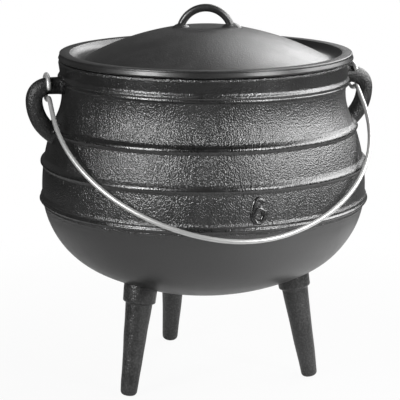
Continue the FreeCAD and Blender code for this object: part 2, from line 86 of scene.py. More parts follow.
def ripple(points: np.ndarray, wavelength: float, seed: int, waves: int = 9) -> np.ndarray:
    """Slow unevenness of a casting: the mean of plane waves in seeded directions.

    Args:
        points: Places in millimetres, last axis x, y, z.
        wavelength: Mean length of a wave in millimetres.
        seed: Number that fixes the directions and phases.
        waves: How many waves are added.

    Returns:
        A value between about -1 and 1 for each place.
    """
    shortest, longest, gain = 0.6, 1.6, 1.8
    rng = np.random.default_rng(seed)
    direction = unit(rng.normal(size=(waves, 3)))
    length = wavelength * rng.uniform(shortest, longest, size=(waves, 1))
    phase = rng.uniform(0.0, 2.0 * np.pi, size=waves)
    return np.sin(points @ (direction * 2.0 * np.pi / length).T + phase).mean(axis=-1) * gain


def arc(centre: Pair, radius: float, start: float, end: float, step: float = 0.5) -> np.ndarray:
    """Points on a circle's arc: centre plus radius times (cos a, sin a).

    Args:
        centre: The circle's centre, in millimetres.
        radius: Its radius, in millimetres.
        start: First angle in degrees.
        end: Last angle in degrees.
        step: Longest gap between points, in millimetres.

    Returns:
        An array of points, one row each.
    """
    count = max(3, int(abs(math.radians(end - start)) * radius / step) + 2)
    angle = np.radians(np.linspace(start, end, count))
    return np.stack([centre[0] + radius * np.cos(angle), centre[1] + radius * np.sin(angle)], axis=1)


def swing(centre: np.ndarray, first: np.ndarray, last: np.ndarray, turn: float, count: int) -> np.ndarray:
    """Points on the arc from one spoke of a circle to another.

    At the share s the spoke is (sin((1 - s) t) first + sin(s t) last) / sin t,
    where t is the angle between the two.

    Args:
        centre: The circle's centre.
        first: Spoke from the centre to the first point.
        last: Spoke from the centre to the last point.
        turn: Angle between the spokes, in radians.
        count: How many points.

    Returns:
        An array of points, one row each.
    """
    share = np.linspace(0.0, 1.0, count)[:, None]
    return centre + (np.sin((1.0 - share) * turn) * first + np.sin(share * turn) * last) / math.sin(turn)


def bowed(start: Pair, end: Pair, radius: float, side: float, count: int = 40) -> np.ndarray:
    """An arc of a given radius from start to end.

    Args:
        start: First point.
        end: Last point.
        radius: The arc's radius.
        side: 1 if the centre lies on the left on the way, -1 if on the right.
        count: How many points.

    Returns:
        An array of points, one row each.
    """
    first, last = np.array(start), np.array(end)
    chord = last - first
    length = np.linalg.norm(chord)
    square = np.array([-chord[1], chord[0]]) / length
    centre = (first + last) / 2.0 + square * side * math.sqrt(radius**2 - length**2 / 4.0)
    return swing(centre, first - centre, last - centre, 2.0 * math.asin(length / 2.0 / radius), count)


def join_path(*parts: np.ndarray) -> np.ndarray:
    """Join runs of points into one path and drop points that fall on the one before.

    Args:
        parts: The runs, in order.

    Returns:
        The path's points.
    """
    path = np.concatenate(parts)
    keep = np.concatenate([[True], np.linalg.norm(np.diff(path, axis=0), axis=1) > 1e-4])
    return path[keep]


def resample(path: np.ndarray, step: float) -> np.ndarray:
    """Points at equal distances along a path, read off by straight interpolation.

    Args:
        path: Points of the path, of any number of coordinates.
        step: Distance wanted between points; the true one is a little longer.

    Returns:
        The new points, with the path's own ends.
    """
    reach = np.concatenate([[0.0], np.cumsum(np.linalg.norm(np.diff(path, axis=0), axis=1))])
    spots = np.linspace(0.0, reach[-1], max(2, int(reach[-1] / step) + 1))
    return np.stack([np.interp(spots, reach, path[:, k]) for k in range(path.shape[1])], axis=1)


def rounded(corners: list[Triple], step: float = 0.5) -> np.ndarray:
    """A path through corners, each replaced by an arc that touches both its sides.

    Args:
        corners: (x, y, radius) of each corner; a radius of 0 keeps it sharp.
        step: Longest gap between points on the arcs, in millimetres.

    Returns:
        The path's points.
    """
    nearly_straight = 0.01
    points = np.array([corner[:2] for corner in corners], float)
    pieces = [points[:1]]
    for index in range(1, len(corners) - 1):
        here, radius = points[index], corners[index][2]
        back, ahead = unit(points[index - 1] - here), unit(points[index + 1] - here)
        half = math.acos(float(np.clip(back @ ahead, -1.0, 1.0))) / 2.0
        if radius <= 0.0 or half > math.pi / 2.0 - nearly_straight:
            pieces.append(here[None])
            continue
        middle = unit(back + ahead) * radius / math.sin(half) + here
        first = here + back * radius / math.tan(half) - middle
        last = here + ahead * radius / math.tan(half) - middle
        turn = math.pi - 2.0 * half
        pieces.append(swing(middle, first, last, turn, max(3, int(radius * turn / step) + 2)))
    pieces.append(points[-1:])
    return join_path(*pieces)


def upright(flat: np.ndarray) -> np.ndarray:
    """Stand a plane path up: (a, b) becomes (a, 0, b)."""
    return np.stack([flat[:, 0], 0.0 * flat[:, 0], flat[:, 1]], axis=1)


def turned_about_z(points: np.ndarray, degrees: float) -> np.ndarray:
    """Turn points about Z: (x, y) becomes (x cos a - y sin a, x sin a + y cos a).

    Args:
        points: Rows of x, y, z.
        degrees: The angle a, positive from X towards Y.

    Returns:
        The turned points.
    """
    cos, sin = math.cos(math.radians(degrees)), math.sin(math.radians(degrees))
    x, y, z = points.T
    return np.stack([x * cos - y * sin, x * sin + y * cos, z], axis=1)


def away_from_axis(points: np.ndarray) -> tuple[np.ndarray, np.ndarray]:
    """How far points are from Z, and the level direction away from it.

    Args:
        points: Rows of x, y, z in millimetres.

    Returns:
        The distances, and the directions: of length one, or shorter within 1 mm of the axis.
    """
    distance = np.linalg.norm(points[:, :2], axis=1)
    return distance, points * [[1.0, 1.0, 0.0]] / np.maximum(distance, 1.0)[:, None]


@dataclass
class Shell:
    """A closed surface: its points in millimetres and its faces, quads or triangles.

    Attributes:
        points: One row for each point.
        quads: Four point numbers for each quad.
        triangles: Three point numbers for each triangle.
        mark: A number for each point, which the iron reads as how rubbed it is.
    """

    points: np.ndarray
    quads: np.ndarray
    triangles: np.ndarray
    mark: np.ndarray

    @staticmethod
    def from_rings(rings: np.ndarray, mark: np.ndarray | None = None) -> "Shell":
        """Close a stack of rings into a shell.

        Face (i, j) joins points j and j + 1 of ring i to those of ring i + 1,
        the last point to the first, and the end rings are drawn to one point.

        Args:
            rings: Points of shape (rings, points round, 3).
            mark: One number for each point, of shape (rings, points round).

        Returns:
            The closed shell.
        """
        count, around = rings.shape[:2]
        number = np.arange(count * around).reshape(count, around)
        following = np.roll(number, -1, axis=1)
        quads = np.stack([number[:-1], following[:-1], following[1:], number[1:]], axis=-1).reshape(-1, 4)
        ends = rings[[0, -1]].mean(axis=1)
        first, last = count * around, count * around + 1
        fans = np.concatenate([
            np.stack([following[0], number[0], np.full(around, first)], axis=-1),
            np.stack([number[-1], following[-1], np.full(around, last)], axis=-1),
        ])
        marks = np.zeros(count * around + 2)
        if mark is not None:
            marks[:-2] = mark.ravel()
            marks[-2:] = mark[0].mean(), mark[-1].mean()
        return Shell(np.concatenate([rings.reshape(-1, 3), ends]), quads, fans, marks)

    @staticmethod
    def join(shells: list["Shell"]) -> "Shell":
        """Put several shells into one, with their point numbers moved on.

        Args:
            shells: The shells, which stay separate surfaces.

        Returns:
            The joined shell.
        """
        starts = np.cumsum([0] + [len(shell.points) for shell in shells[:-1]])
        return Shell(
            np.concatenate([shell.points for shell in shells]),
            np.concatenate([shell.quads + start for shell, start in zip(shells, starts)]),
            np.concatenate([shell.triangles + start for shell, start in zip(shells, starts)]),
            np.concatenate([shell.mark for shell in shells]),
        )

    def outward(self) -> "Shell":
        """Turn every face round if the signed volume of the shell is negative.

        Returns:
            The shell itself.
        """
        a, b, c = (self.points[self.triangles[:, k]] for k in range(3))
        volume = np.einsum("ij,ij->i", a, np.cross(b, c)).sum()
        for k in (1, 2):
            a, b, c = (self.points[self.quads[:, m]] for m in (0, k, k + 1))
            volume += np.einsum("ij,ij->i", a, np.cross(b, c)).sum()
        if volume < 0.0:
            self.quads = self.quads[:, ::-1]
            self.triangles = self.triangles[:, ::-1]
        return self

    def build(self, name: str, material: bpy.types.Material) -> bpy.types.Object:
        """Make the shell a smooth mesh object at the origin, in metres.

        Args:
            name: Name of the object and its mesh.
            material: What it is made of.

        Returns:
            The new object.
        """
        mesh = bpy.data.meshes.new(name)
        mesh.from_pydata((self.points * MM).tolist(), [], self.quads.tolist() + self.triangles.tolist())
        mesh.polygons.foreach_set("use_smooth", np.ones(len(mesh.polygons), bool))
        marks = mesh.attributes.new("mark", "FLOAT", "POINT")
        marks.data.foreach_set("value", self.mark.astype(np.float32))
        mesh.materials.append(material)
        mesh.update()
        thing = bpy.data.objects.new(name, mesh)
        bpy.context.scene.collection.objects.link(thing)
        return thing


def revolve(profile: np.ndarray, columns: int, mark: np.ndarray | None = None) -> Shell:
    """Turn a profile about Z: point (r, z) becomes (r cos a, r sin a, z).

    Args:
        profile: Rows of radius and height; it starts and ends on the axis.
        columns: Points round the axis.
        mark: One number for each row of the profile.

    Returns:
        The closed shell.
    """
    angle = angles(columns)
    radius, height = profile[1:-1, 0:1], profile[1:-1, 1:2]
    rings = np.stack([radius * np.cos(angle), radius * np.sin(angle), height + 0.0 * angle], axis=-1)
    marks = None if mark is None else np.repeat(mark[1:-1, None], columns, axis=1)
    return Shell.from_rings(rings, marks)


def tube(path: np.ndarray, side: np.ndarray, radius: np.ndarray, around: int) -> Shell:
    """Carry a round section along a path.

    With T the path's direction, B the given side made square to T and
    N = T x B, a point is P + radius (cos a N + sin a B).

    Args:
        path: Points of the path, in millimetres.
        side: A direction across the path, one for each point or one for all.
        radius: Section radius at each point, or at each point and angle.
        around: Points round the section.

    Returns:
        The closed shell.
    """
    direction = unit(np.gradient(path, axis=0))
    across = np.broadcast_to(side, path.shape).astype(float)
    across = unit(across - (across * direction).sum(axis=1, keepdims=True) * direction)
    normal = np.cross(direction, across)
    angle = angles(around)
    radius = radius[:, None] if radius.ndim == 1 else radius
    spread = np.cos(angle)[None, :, None] * normal[:, None] + np.sin(angle)[None, :, None] * across[:, None]
    return Shell.from_rings(path[:, None] + (radius + 0.0 * angle)[..., None] * spread)


def blunt_ends(count: int, radius: float, bevel: tuple[tuple[int, float], ...]) -> np.ndarray:
    """A tube's radii, with both its ends taken in.

    Args:
        count: How many points the tube's path has.
        radius: The plain radius.
        bevel: (place from the end, share of the radius left there) of each point taken in.

    Returns:
        One radius for each point.
    """
    radii = np.full(count, radius)
    for place, share in bevel:
        radii[place] = radii[count - 1 - place] = radius * share
    return radii


# Node trees

def grey(value: float) -> Colour:
    """An opaque grey."""
    return (value, value, value, 1.0)


class Bench:
    """A node tree together with short calls that fill it."""

    def __init__(self, tree: bpy.types.NodeTree) -> None:
        """Keep the tree to work on."""
        self.tree = tree

    @classmethod
    def emptied(cls, owner: bpy.types.Material | bpy.types.World) -> "Bench":
        """Turn on a material's or world's nodes and clear away those that it starts with.

        Args:
            owner: The new material or world.

        Returns:
            A bench on its empty tree.
        """
        owner.use_nodes = True
        owner.node_tree.nodes.clear()
        return cls(owner.node_tree)

    def put(self, kind: str, inputs: dict | None = None, **settings: object) -> bpy.types.Node:
        """Add a node, set its properties, and set or link its inputs.

        Args:
            kind: The node's type name.
            inputs: For each input's name or number, a value or an output to link.
            settings: Properties of the node.

        Returns:
            The new node.
        """
        node = self.tree.nodes.new(kind)
        for name, value in settings.items():
            setattr(node, name, value)
        for key, value in (inputs or {}).items():
            if isinstance(value, bpy.types.NodeSocket):
                self.tree.links.new(value, node.inputs[key])
            else:
                node.inputs[key].default_value = value
        return node

    def math(self, operation: str, *values: object) -> bpy.types.NodeSocket:
        """Add a Math node on the given values and return its result."""
        return self.put("ShaderNodeMath", dict(enumerate(values)), operation=operation).outputs[0]

    def weigh(self, first: object, share: float, second: object) -> bpy.types.NodeSocket:
        """Return share times the first value plus the rest times the second."""
        rest = self.math("MULTIPLY", second, 1.0 - share)
        return self.math("ADD", self.math("MULTIPLY", first, share), rest)

    def blend(self, share: object, low: object, high: object) -> bpy.types.NodeSocket:
        """Mix two colours by a share and return the result."""
        return self.put("ShaderNodeMix", {0: share, 6: low, 7: high}, data_type="RGBA").outputs[2]

    def fade(self, value: object, span: Pair, first: float = 0.0, last: float = 1.0) -> bpy.types.NodeSocket:
        """Map a value smoothly from a span to first..last, and no further.

        Args:
            value: The value.
            span: Where the change starts and ends.
            first: Result at the start.
            last: Result at the end.

        Returns:
            The result.
        """
        inputs = {0: value, 1: span[0], 2: span[1], 3: first, 4: last}
        return self.put("ShaderNodeMapRange", inputs, interpolation_type="SMOOTHSTEP").outputs[0]

    def noise(self, vector: object, scale: object, detail: float, rough: float = 0.5) -> bpy.types.NodeSocket:
        """Add a noise texture and return its value."""
        inputs = {"Vector": vector, "Scale": scale, "Detail": detail, "Roughness": rough}
        return self.put("ShaderNodeTexNoise", inputs).outputs[0]

    def place(self, coordinates: str = "Object") -> bpy.types.NodeSocket:
        """Return one output of a new Texture Coordinate node."""
        return self.put("ShaderNodeTexCoord").outputs[coordinates]

    def along(self, vector: object, direction: Triple) -> bpy.types.NodeSocket:
        """Return how far a vector reaches along a direction."""
        node = self.put("ShaderNodeVectorMath", {0: vector, 1: direction}, operation="DOT_PRODUCT")
        return node.outputs["Value"]

    def rays(self) -> tuple[bpy.types.NodeSocket, bpy.types.NodeSocket]:
        """Return whether a ray comes from the camera, and whether from gloss or through glass."""
        rays = self.put("ShaderNodeLightPath").outputs
        return rays["Is Camera Ray"], self.math("MAXIMUM", rays["Is Glossy Ray"], rays["Is Transmission Ray"])


class Effect:
    """A shader node group with named inputs and outputs, built once."""

    def __init__(self, name: str, inputs: dict[str, tuple[str, object]], outputs: dict[str, str]) -> None:
        """Make the empty group and its sockets.

        Args:
            name: Name of the group.
            inputs: For each input, its kind and its first value.
            outputs: For each output, its kind.
        """
        self.tree = bpy.data.node_groups.new(name, "ShaderNodeTree")
        for label, (kind, value) in inputs.items():
            socket = self.tree.interface.new_socket(label, in_out="INPUT", socket_type="NodeSocket" + kind)
            if value is not None:
                socket.default_value = value
        for label, kind in outputs.items():
            self.tree.interface.new_socket(label, in_out="OUTPUT", socket_type="NodeSocket" + kind)
        self.bench = Bench(self.tree)
        self.given = self.bench.put("NodeGroupInput").outputs
        self.result = self.bench.put("NodeGroupOutput").inputs

    def give(self, **values: bpy.types.NodeSocket) -> None:
        """Link values to the group's outputs by name."""
        for label, value in values.items():
            self.tree.links.new(value, self.result[label])

    def place(self, bench: Bench, **values: object) -> bpy.types.NodeOutputs:
        """Put the group in a material and return the placed node's outputs."""
        return bench.put("ShaderNodeGroup", values, node_tree=self.tree).outputs


class SandGrain(Effect):
    """The grain that a sand mould leaves: fine lumps, coarser swells and small pits.

    Attributes:
        lump_share: Share of the lumps in the height; the rest is swells.
        swells_per_lump: How many swells there are to a lump, along a line.
        pits_per_lump: The same of pits.
        pit_edge: Distances from a pit's middle between which it ends, in its cell's width.
        speck: Heights of a lump between which it turns dry.
    """

    lump_share: float = 0.7
    swells_per_lump: float = 0.5
    pits_per_lump: float = 0.2
    pit_edge: Pair = (0.08, 0.26)
    speck: Pair = (0.42, 0.68)

    def __init__(self) -> None:
        """Build the group."""
        super().__init__(
            "Sand grain",
            {"Vector": ("Vector", None), "Grain": ("Float", 560.0), "Pits": ("Float", 0.5)},
            {"Height": "Float", "Speck": "Float"},
        )
        bench, given = self.bench, self.given
        lumps = bench.noise(given["Vector"], given["Grain"], detail=1.0, rough=0.4)
        swell_scale = bench.math("MULTIPLY", given["Grain"], self.swells_per_lump)
        swells = bench.noise(given["Vector"], swell_scale, detail=1.0)
        cells = bench.put("ShaderNodeTexVoronoi", {
            "Vector": given["Vector"], "Scale": bench.math("MULTIPLY", given["Grain"], self.pits_per_lump),
        }).outputs["Distance"]
        pits = bench.math("MULTIPLY", bench.fade(cells, self.pit_edge, 1.0, 0.0), given["Pits"])
        height = bench.math("SUBTRACT", bench.weigh(lumps, self.lump_share, swells), pits)
        self.give(Height=height, Speck=bench.fade(lumps, self.speck))


class Seasoning(Effect):
    """Baked oil on iron: patches that are drier or glossier, and dry specks on the grain's lumps.

    Attributes:
        patches_per_metre: How many patches there are along a metre.
        streaks_per_metre: The same of the finer streaks.
        patch_share: Share of the patches in the dryness; the rest is streaks.
        dry_from: Sums of the two between which the skin turns dry.
        dry_share: Share of the dryness in the colour; the rest is specks.
    """

    patches_per_metre: float = 22.0
    streaks_per_metre: float = 95.0
    patch_share: float = 0.7
    dry_from: Pair = (0.38, 0.66)
    dry_share: float = 0.4

    def __init__(self) -> None:
        """Build the group."""
        super().__init__(
            "Seasoning",
            {
                "Vector": ("Vector", None), "Dark": ("Color", grey(0.0)), "Dry": ("Color", grey(0.1)),
                "Glossy": ("Float", 0.3), "Matt": ("Float", 0.5), "Speck": ("Float", 0.5),
            },
            {"Color": "Color", "Roughness": "Float"},
        )
        bench, given = self.bench, self.given
        patches = bench.noise(given["Vector"], self.patches_per_metre, detail=4.0, rough=0.6)
        streaks = bench.noise(given["Vector"], self.streaks_per_metre, detail=3.0, rough=0.6)
        dry = bench.fade(bench.weigh(patches, self.patch_share, streaks), self.dry_from)
        share = bench.weigh(dry, self.dry_share, given["Speck"])
        span = bench.math("SUBTRACT", given["Matt"], given["Glossy"])
        rough = bench.math("ADD", given["Glossy"], bench.math("MULTIPLY", dry, span))
        self.give(Color=bench.blend(share, given["Dark"], given["Dry"]), Roughness=rough)


@dataclass(frozen=True)
class IronFinish:
    """Black seasoned cast iron.

    Attributes:
        name: Name of the material.
        dark: Grey of the oiled skin.
        dry: Grey where the skin is thin or dry.
        glossy: Roughness of the oiled skin.
        matt: Roughness where it is dry.
        grain: Grains across a metre.
        depth: Depth of the grain, in millimetres.
        pits: Share of the depth that pits reach.
        index: Index of refraction of the skin.
        smooth_below: Height under which the grain fades, in millimetres, or None.
        smooth_share: Share of the depth left there.
        smooth_span: How far above and below that height it fades, in millimetres.
        rubbed: Marks between which the iron goes from sandy to rubbed.
        rubbed_depth: Share of the depth left where it is rubbed.
        rubbed_rough: Share of the roughness left there.
    """

    name: str
    dark: float
    dry: float
    glossy: float
    matt: float
    grain: float
    depth: float
    pits: float
    index: float = 1.8
    smooth_below: float | None = None
    smooth_share: float = 0.1
    smooth_span: float = 4.0
    rubbed: Pair = (0.2, 1.0)
    rubbed_depth: float = 0.35
    rubbed_rough: float = 0.8

    def make(self, grain: SandGrain, seasoning: Seasoning) -> bpy.types.Material:
        """Build the material from the two shared effects.

        Args:
            grain: The grain effect.
            seasoning: The seasoning effect.

        Returns:
            The material.
        """
        material = bpy.data.materials.new(self.name)
        bench = Bench.emptied(material)
        place = bench.place()
        grains = grain.place(bench, Vector=place, Grain=self.grain, Pits=self.pits)
        skin = seasoning.place(
            bench, Vector=place, Dark=grey(self.dark), Dry=grey(self.dry),
            Glossy=self.glossy, Matt=self.matt, Speck=grains["Speck"],
        )
        mark = bench.put("ShaderNodeAttribute", attribute_name="mark").outputs["Fac"]
        left = bench.fade(mark, self.rubbed, 1.0, self.rubbed_depth)
        height = bench.math("MULTIPLY", grains["Height"], left)
        if self.smooth_below is not None:
            up = bench.put("ShaderNodeSeparateXYZ", {0: place}).outputs[2]
            span = (self.smooth_below - self.smooth_span) * MM, (self.smooth_below + self.smooth_span) * MM
            height = bench.math("MULTIPLY", height, bench.fade(up, span, self.smooth_share, 1.0))
        bump = bench.put("ShaderNodeBump", {"Strength": 1.0, "Distance": self.depth * MM, "Height": height})
        polish = bench.fade(mark, self.rubbed, 1.0, self.rubbed_rough)
        rough = bench.math("MULTIPLY", skin["Roughness"], polish)
        shader = bench.put("ShaderNodeBsdfPrincipled", {
            "Base Color": skin["Color"], "Roughness": rough, "Normal": bump.outputs[0], "IOR": self.index,
        })
        bench.put("ShaderNodeOutputMaterial", {"Surface": shader.outputs[0]})
        return material


@dataclass(frozen=True)
class WireFinish:
    """Bright drawn wire with a zinc skin.

    Attributes:
        name: Name of the material.
        bright: Colour of the clean skin.
        dull: Colour of the dulled skin.
        rough: Roughness of the clean skin.
        dull_rough: Roughness of the dulled skin.
        metallic: How metallic the skin is.
        scratches: Scratches across a metre.
        scratch_depth: Their depth, in millimetres.
        scratch_strength: How much of their slope shows.
    """

    name: str
    bright: Colour
    dull: Colour
    rough: float
    dull_rough: float
    metallic: float = 0.65
    scratches: float = 900.0
    scratch_depth: float = 0.05
    scratch_strength: float = 0.2

    def make(self, seasoning: Seasoning) -> bpy.types.Material:
        """Build the material, with the seasoning effect as its tarnish.

        Args:
            seasoning: The effect that gives patches.

        Returns:
            The material.
        """
        material = bpy.data.materials.new(self.name)
        bench = Bench.emptied(material)
        place = bench.place()
        skin = seasoning.place(
            bench, Vector=place, Dark=self.bright, Dry=self.dull,
            Glossy=self.rough, Matt=self.dull_rough, Speck=0.0,
        )
        bump = bench.put("ShaderNodeBump", {
            "Strength": self.scratch_strength, "Distance": self.scratch_depth * MM,
            "Height": bench.noise(place, self.scratches, detail=2.0),
        })
        shader = bench.put("ShaderNodeBsdfPrincipled", {
            "Base Color": skin["Color"], "Metallic": self.metallic,
            "Roughness": skin["Roughness"], "Normal": bump.outputs[0],
        })
        bench.put("ShaderNodeOutputMaterial", {"Surface": shader.outputs[0]})
        return material


class Finish(enum.Enum):
    """The finishes of the cauldron's pieces."""

    POT = IronFinish(
        "pot iron", dark=0.001, dry=0.009, glossy=0.32, matt=0.39, grain=770.0, depth=1.0, pits=0.02,
        index=2.1, smooth_below=176.0,
    )
    LEG = IronFinish(
        "leg iron", dark=0.004, dry=0.05, glossy=0.3, matt=0.42, grain=560.0, depth=0.6, pits=0.05,
        index=1.75,
    )
    EAR = IronFinish(
        "ear iron", dark=0.001, dry=0.018, glossy=0.4, matt=0.52, grain=640.0, depth=1.0, pits=0.05,
        index=1.7,
    )
    LID = IronFinish(
        "lid iron", dark=0.01, dry=0.026, glossy=0.4, matt=0.48, grain=700.0, depth=0.2, pits=0.1,
    )
    ROD = IronFinish(
        "dark rod", dark=0.012, dry=0.03, glossy=0.3, matt=0.42, grain=520.0, depth=0.1, pits=0.1,
    )
    WIRE = WireFinish(
        "bail wire", bright=(0.8, 0.8, 0.79, 1.0), dull=(0.62, 0.62, 0.61, 1.0), rough=0.34, dull_rough=0.44,
    )


# The pieces

@dataclass
class Wall:
    """The pot's wall, a body of revolution with four beads, in millimetres.

    Attributes:
        thickness: Thickness of the iron.
        belly_radius: Outer radius at the widest level, without beads.
        belly_height: Height of that level.
        shoulder_radius: Radius of the arc under it.
        bottom_radius: Radius of the bottom's arc.
        neck_radius: Outer radius of the neck at its narrowest.
        neck_height: Height of that level.
        neck_bend: Radius of the neck's hollow arc.
        rim_flare: Degrees that the rim leans out.
        rim_height: Height of the rim.
        rim_outside: Rounding of the rim's outer edge.
        rim_inside: Rounding of its inner edge.
        rim_start: How far under the rim's top its outer rounding starts.
        rim_end: How far under the rim's top its inner rounding ends.
        rim_lean: How far its inner edge leans out over that.
        bead_height: How far a bead stands off the wall.
        bead_levels: Heights of the beads, from the rim down.
        crest: Width of a bead's flat crest, all below its level.
        upper_flank: Reach of a bead above its level.
        lower_flank: Reach of a bead below its level.
        beads_over: Height over which the beads are looked for.
        lines: Fine lines: a bead's number, the drop below it, the height and the half width.
        tilt: How far the uppermost bead falls, over the neck's radius.
        tilt_toward: The level direction in which it falls.
        tilt_reach: Distances above and below that bead where the tilt ends and where it is whole.
        rub: How rubbed the band between that bead and the lid is.
        rub_reach: Heights above that bead between which the rubbing sets in.
        uneven: Greatest unevenness of the wall.
        uneven_length: Mean length of its waves.
        calm: How far under the rim the unevenness ends.
        columns: Points round the wall.
        margin: How far beyond a bead or line its fine rows reach.
        bead_row: Gap between rows on beads and lines.
        plain_row: Gap between rows elsewhere.
        low_row: The same in the lower part.
        low_level: Height of the lower part's end.
        rim_row: The same on the rim's roundings.
        inner_row: The same on the inner face.
        reading: Gap between the points that the outer section is read at.
        inner_reading: The same of the inner section.
    """

    thickness: float = 6.0
    belly_radius: float = 161.3
    belly_height: float = 194.2
    shoulder_radius: float = 88.7
    bottom_radius: float = 248.0
    neck_radius: float = 140.4
    neck_height: float = 290.5
    neck_bend: float = 55.0
    rim_flare: float = 6.0
    rim_height: float = 322.0
    rim_outside: float = 2.6
    rim_inside: float = 0.8
    rim_start: float = 2.9
    rim_end: float = 1.2
    rim_lean: float = 0.1
    bead_height: float = 3.2
    bead_levels: tuple[float, ...] = (303.0, 257.2, 222.3, 186.0)
    crest: float = 1.2
    upper_flank: float = 5.8
    lower_flank: float = 4.8
    beads_over: float = 120.0
    lines: tuple[tuple[int, float, float, float], ...] = (
        (0, 0.2, -1.5, 1.9), (3, -1.0, -1.6, 1.9), (3, 6.2, 0.6, 1.5),
    )
    tilt: float = 1.9
    tilt_toward: Pair = (0.966, -0.259)
    tilt_reach: Pair = (15.0, 4.0)
    rub: float = 0.7
    rub_reach: Pair = (1.5, 5.0)
    uneven: float = 0.22
    uneven_length: float = 70.0
    calm: float = 8.0
    columns: int = 320
    margin: float = 1.5
    bead_row: float = 0.85
    plain_row: float = 2.6
    low_row: float = 4.0
    low_level: float = 175.0
    rim_row: float = 0.4
    inner_row: float = 5.0
    reading: float = 0.2
    inner_reading: float = 2.0

    def __post_init__(self) -> None:
        """Work out the centres, radii and joints of the wall's arcs."""
        gap = self.bottom_radius - self.shoulder_radius
        self.shoulder_x = self.belly_radius - self.shoulder_radius
        self.bottom_centre = self.belly_height + math.sqrt(gap**2 - self.shoulder_x**2)
        self.neck_x = self.neck_radius + self.neck_bend
        out, up = self.neck_x - self.belly_radius, self.neck_height - self.belly_height
        self.upper_radius = (out**2 + up**2 - self.neck_bend**2) / (2.0 * (self.neck_bend - out))
        self.upper_x = self.belly_radius - self.upper_radius
        self.bottom_joint = math.degrees(math.atan2(self.belly_height - self.bottom_centre, self.shoulder_x))
        self.neck_joint = math.degrees(math.atan2(up, self.neck_x - self.upper_x))

    def plain(self, inset: float, top: float, step: float) -> np.ndarray:
        """The wall's section without beads: four arcs that touch and a straight rim.

        Args:
            inset: Distance in from the outer face.
            top: Height of the last point.
            step: Gap between points.

        Returns:
            Rows of radius and height, from the axis up.
        """
        level, joint = self.belly_height, self.neck_joint
        bottom = arc((0.0, self.bottom_centre), self.bottom_radius - inset, -90.0, self.bottom_joint, step)
        shoulder = arc((self.shoulder_x, level), self.shoulder_radius - inset, self.bottom_joint, 0.0, step)
        upper = arc((self.upper_x, level), self.upper_radius - inset, 0.0, joint, step)
        bend = self.neck_bend + inset
        neck = arc((self.neck_x, self.neck_height), bend, 180.0 + joint, 180.0 - self.rim_flare, step)
        slope = math.tan(math.radians(self.rim_flare))
        rim = np.array([[neck[-1, 0] + (top - neck[-1, 1]) * slope, top]])
        return join_path(bottom, shoulder, upper, neck, rim)

    def outer(self) -> tuple[np.ndarray, np.ndarray]:
        """The outer section with its beads.

        Each bead adds height times (1 - smoothstep) of the distance from its
        level along the section, square to the wall, steeper below than above.
        Narrow lines split the first and the last bead and run under the last.

        Returns:
            Rows of radius and height, and the bead's share at each row.
        """
        fine = resample(self.plain(0.0, self.rim_height, self.reading), self.reading)
        reach = np.arange(len(fine)) * np.linalg.norm(fine[1] - fine[0])
        slope = unit(np.gradient(fine, axis=0))
        normal = np.stack([slope[:, 1], -slope[:, 0]], axis=1)
        height = np.where(fine[:, 1] > self.beads_over, fine[:, 1], -np.inf)
        spots = [reach[np.argmin(np.abs(height - level))] for level in self.bead_levels]
        above = reach[:, None] - np.array(spots)[None]
        upper = 1.0 - smoothstep(0.0, self.upper_flank, above)
        lower = 1.0 - smoothstep(self.crest, self.lower_flank, -above)
        share = np.where(above > 0.0, upper, lower).sum(axis=1)
        near = np.abs(above).min(axis=1) < self.upper_flank + self.margin
        ridge = np.zeros(len(fine))
        for number, drop, rise, flank in self.lines:
            off = np.abs(reach - spots[number] + drop)
            ridge += rise * (1.0 - smoothstep(0.0, flank, off))
            near |= off < flank + self.margin
        far_row = np.where(fine[:, 1] < self.low_level, self.low_row, self.plain_row)
        pace = np.where(near, self.bead_row, far_row)
        ticks = np.concatenate([[0.0], np.cumsum(np.diff(reach) / pace[1:])])
        pick = np.unique(np.searchsorted(ticks, np.arange(0.0, ticks[-1], 1.0)))
        shaped = fine + normal * (share * self.bead_height + ridge)[:, None]
        return shaped[pick], share[pick]

    def radius_at(self, height: np.ndarray) -> np.ndarray:
        """Outer radius with beads, read off the section.

        Args:
            height: Heights to read it at.

        Returns:
            The radii, the same shape as height.
        """
        section, _ = self.outer()
        return np.interp(height, section[:, 1], section[:, 0])

    def shell(self) -> Shell:
        """The whole wall: outer face, rounded rim and inner face, slightly uneven.

        The uppermost bead runs a little out of level: heights within the
        tilt's reach, on the outer third of the wall's thickness, move by tilt
        times the share of the way across the pot.

        Returns:
            The closed shell.
        """
        outer, share = self.outer()
        inner_top = self.rim_height - self.rim_end
        inner = resample(self.plain(self.thickness, inner_top, self.inner_reading), self.inner_row)[::-1]
        edge = outer[-1, 0]
        cut = outer[:, 1] < self.rim_height - self.rim_start
        outer, share = outer[cut], share[cut]
        rim = rounded([
            (*outer[-1], 0.0), (edge, self.rim_height, self.rim_outside),
            (inner[0, 0] + self.rim_lean, self.rim_height, self.rim_inside), (*inner[0], 0.0),
        ], self.rim_row)[1:-1]
        band = self.bead_levels[0]
        rubbed = self.rub * smoothstep(band + self.rub_reach[0], band + self.rub_reach[1], outer[:, 1])
        mark = np.concatenate([share + rubbed, np.zeros(len(rim) + len(inner))])
        shell = revolve(np.concatenate([outer, rim, inner]), self.columns, mark)
        place = shell.points
        distance, outward = away_from_axis(place)
        below_rim = smoothstep(self.rim_height, self.rim_height - self.calm, place[:, 2])
        uneven = self.uneven * ripple(place, self.uneven_length, seed=3) * below_rim
        place = place + outward * uneven[:, None]
        across = (place[:, 0] * self.tilt_toward[0] + place[:, 1] * self.tilt_toward[1]) / self.neck_radius
        near_top = smoothstep(*self.tilt_reach, np.abs(place[:, 2] - band))
        near_top = near_top * (distance > self.neck_radius - self.thickness / 3.0)
        shell.points = place - (self.tilt * across * near_top)[:, None] * [[0.0, 0.0, 1.0]]
        return shell


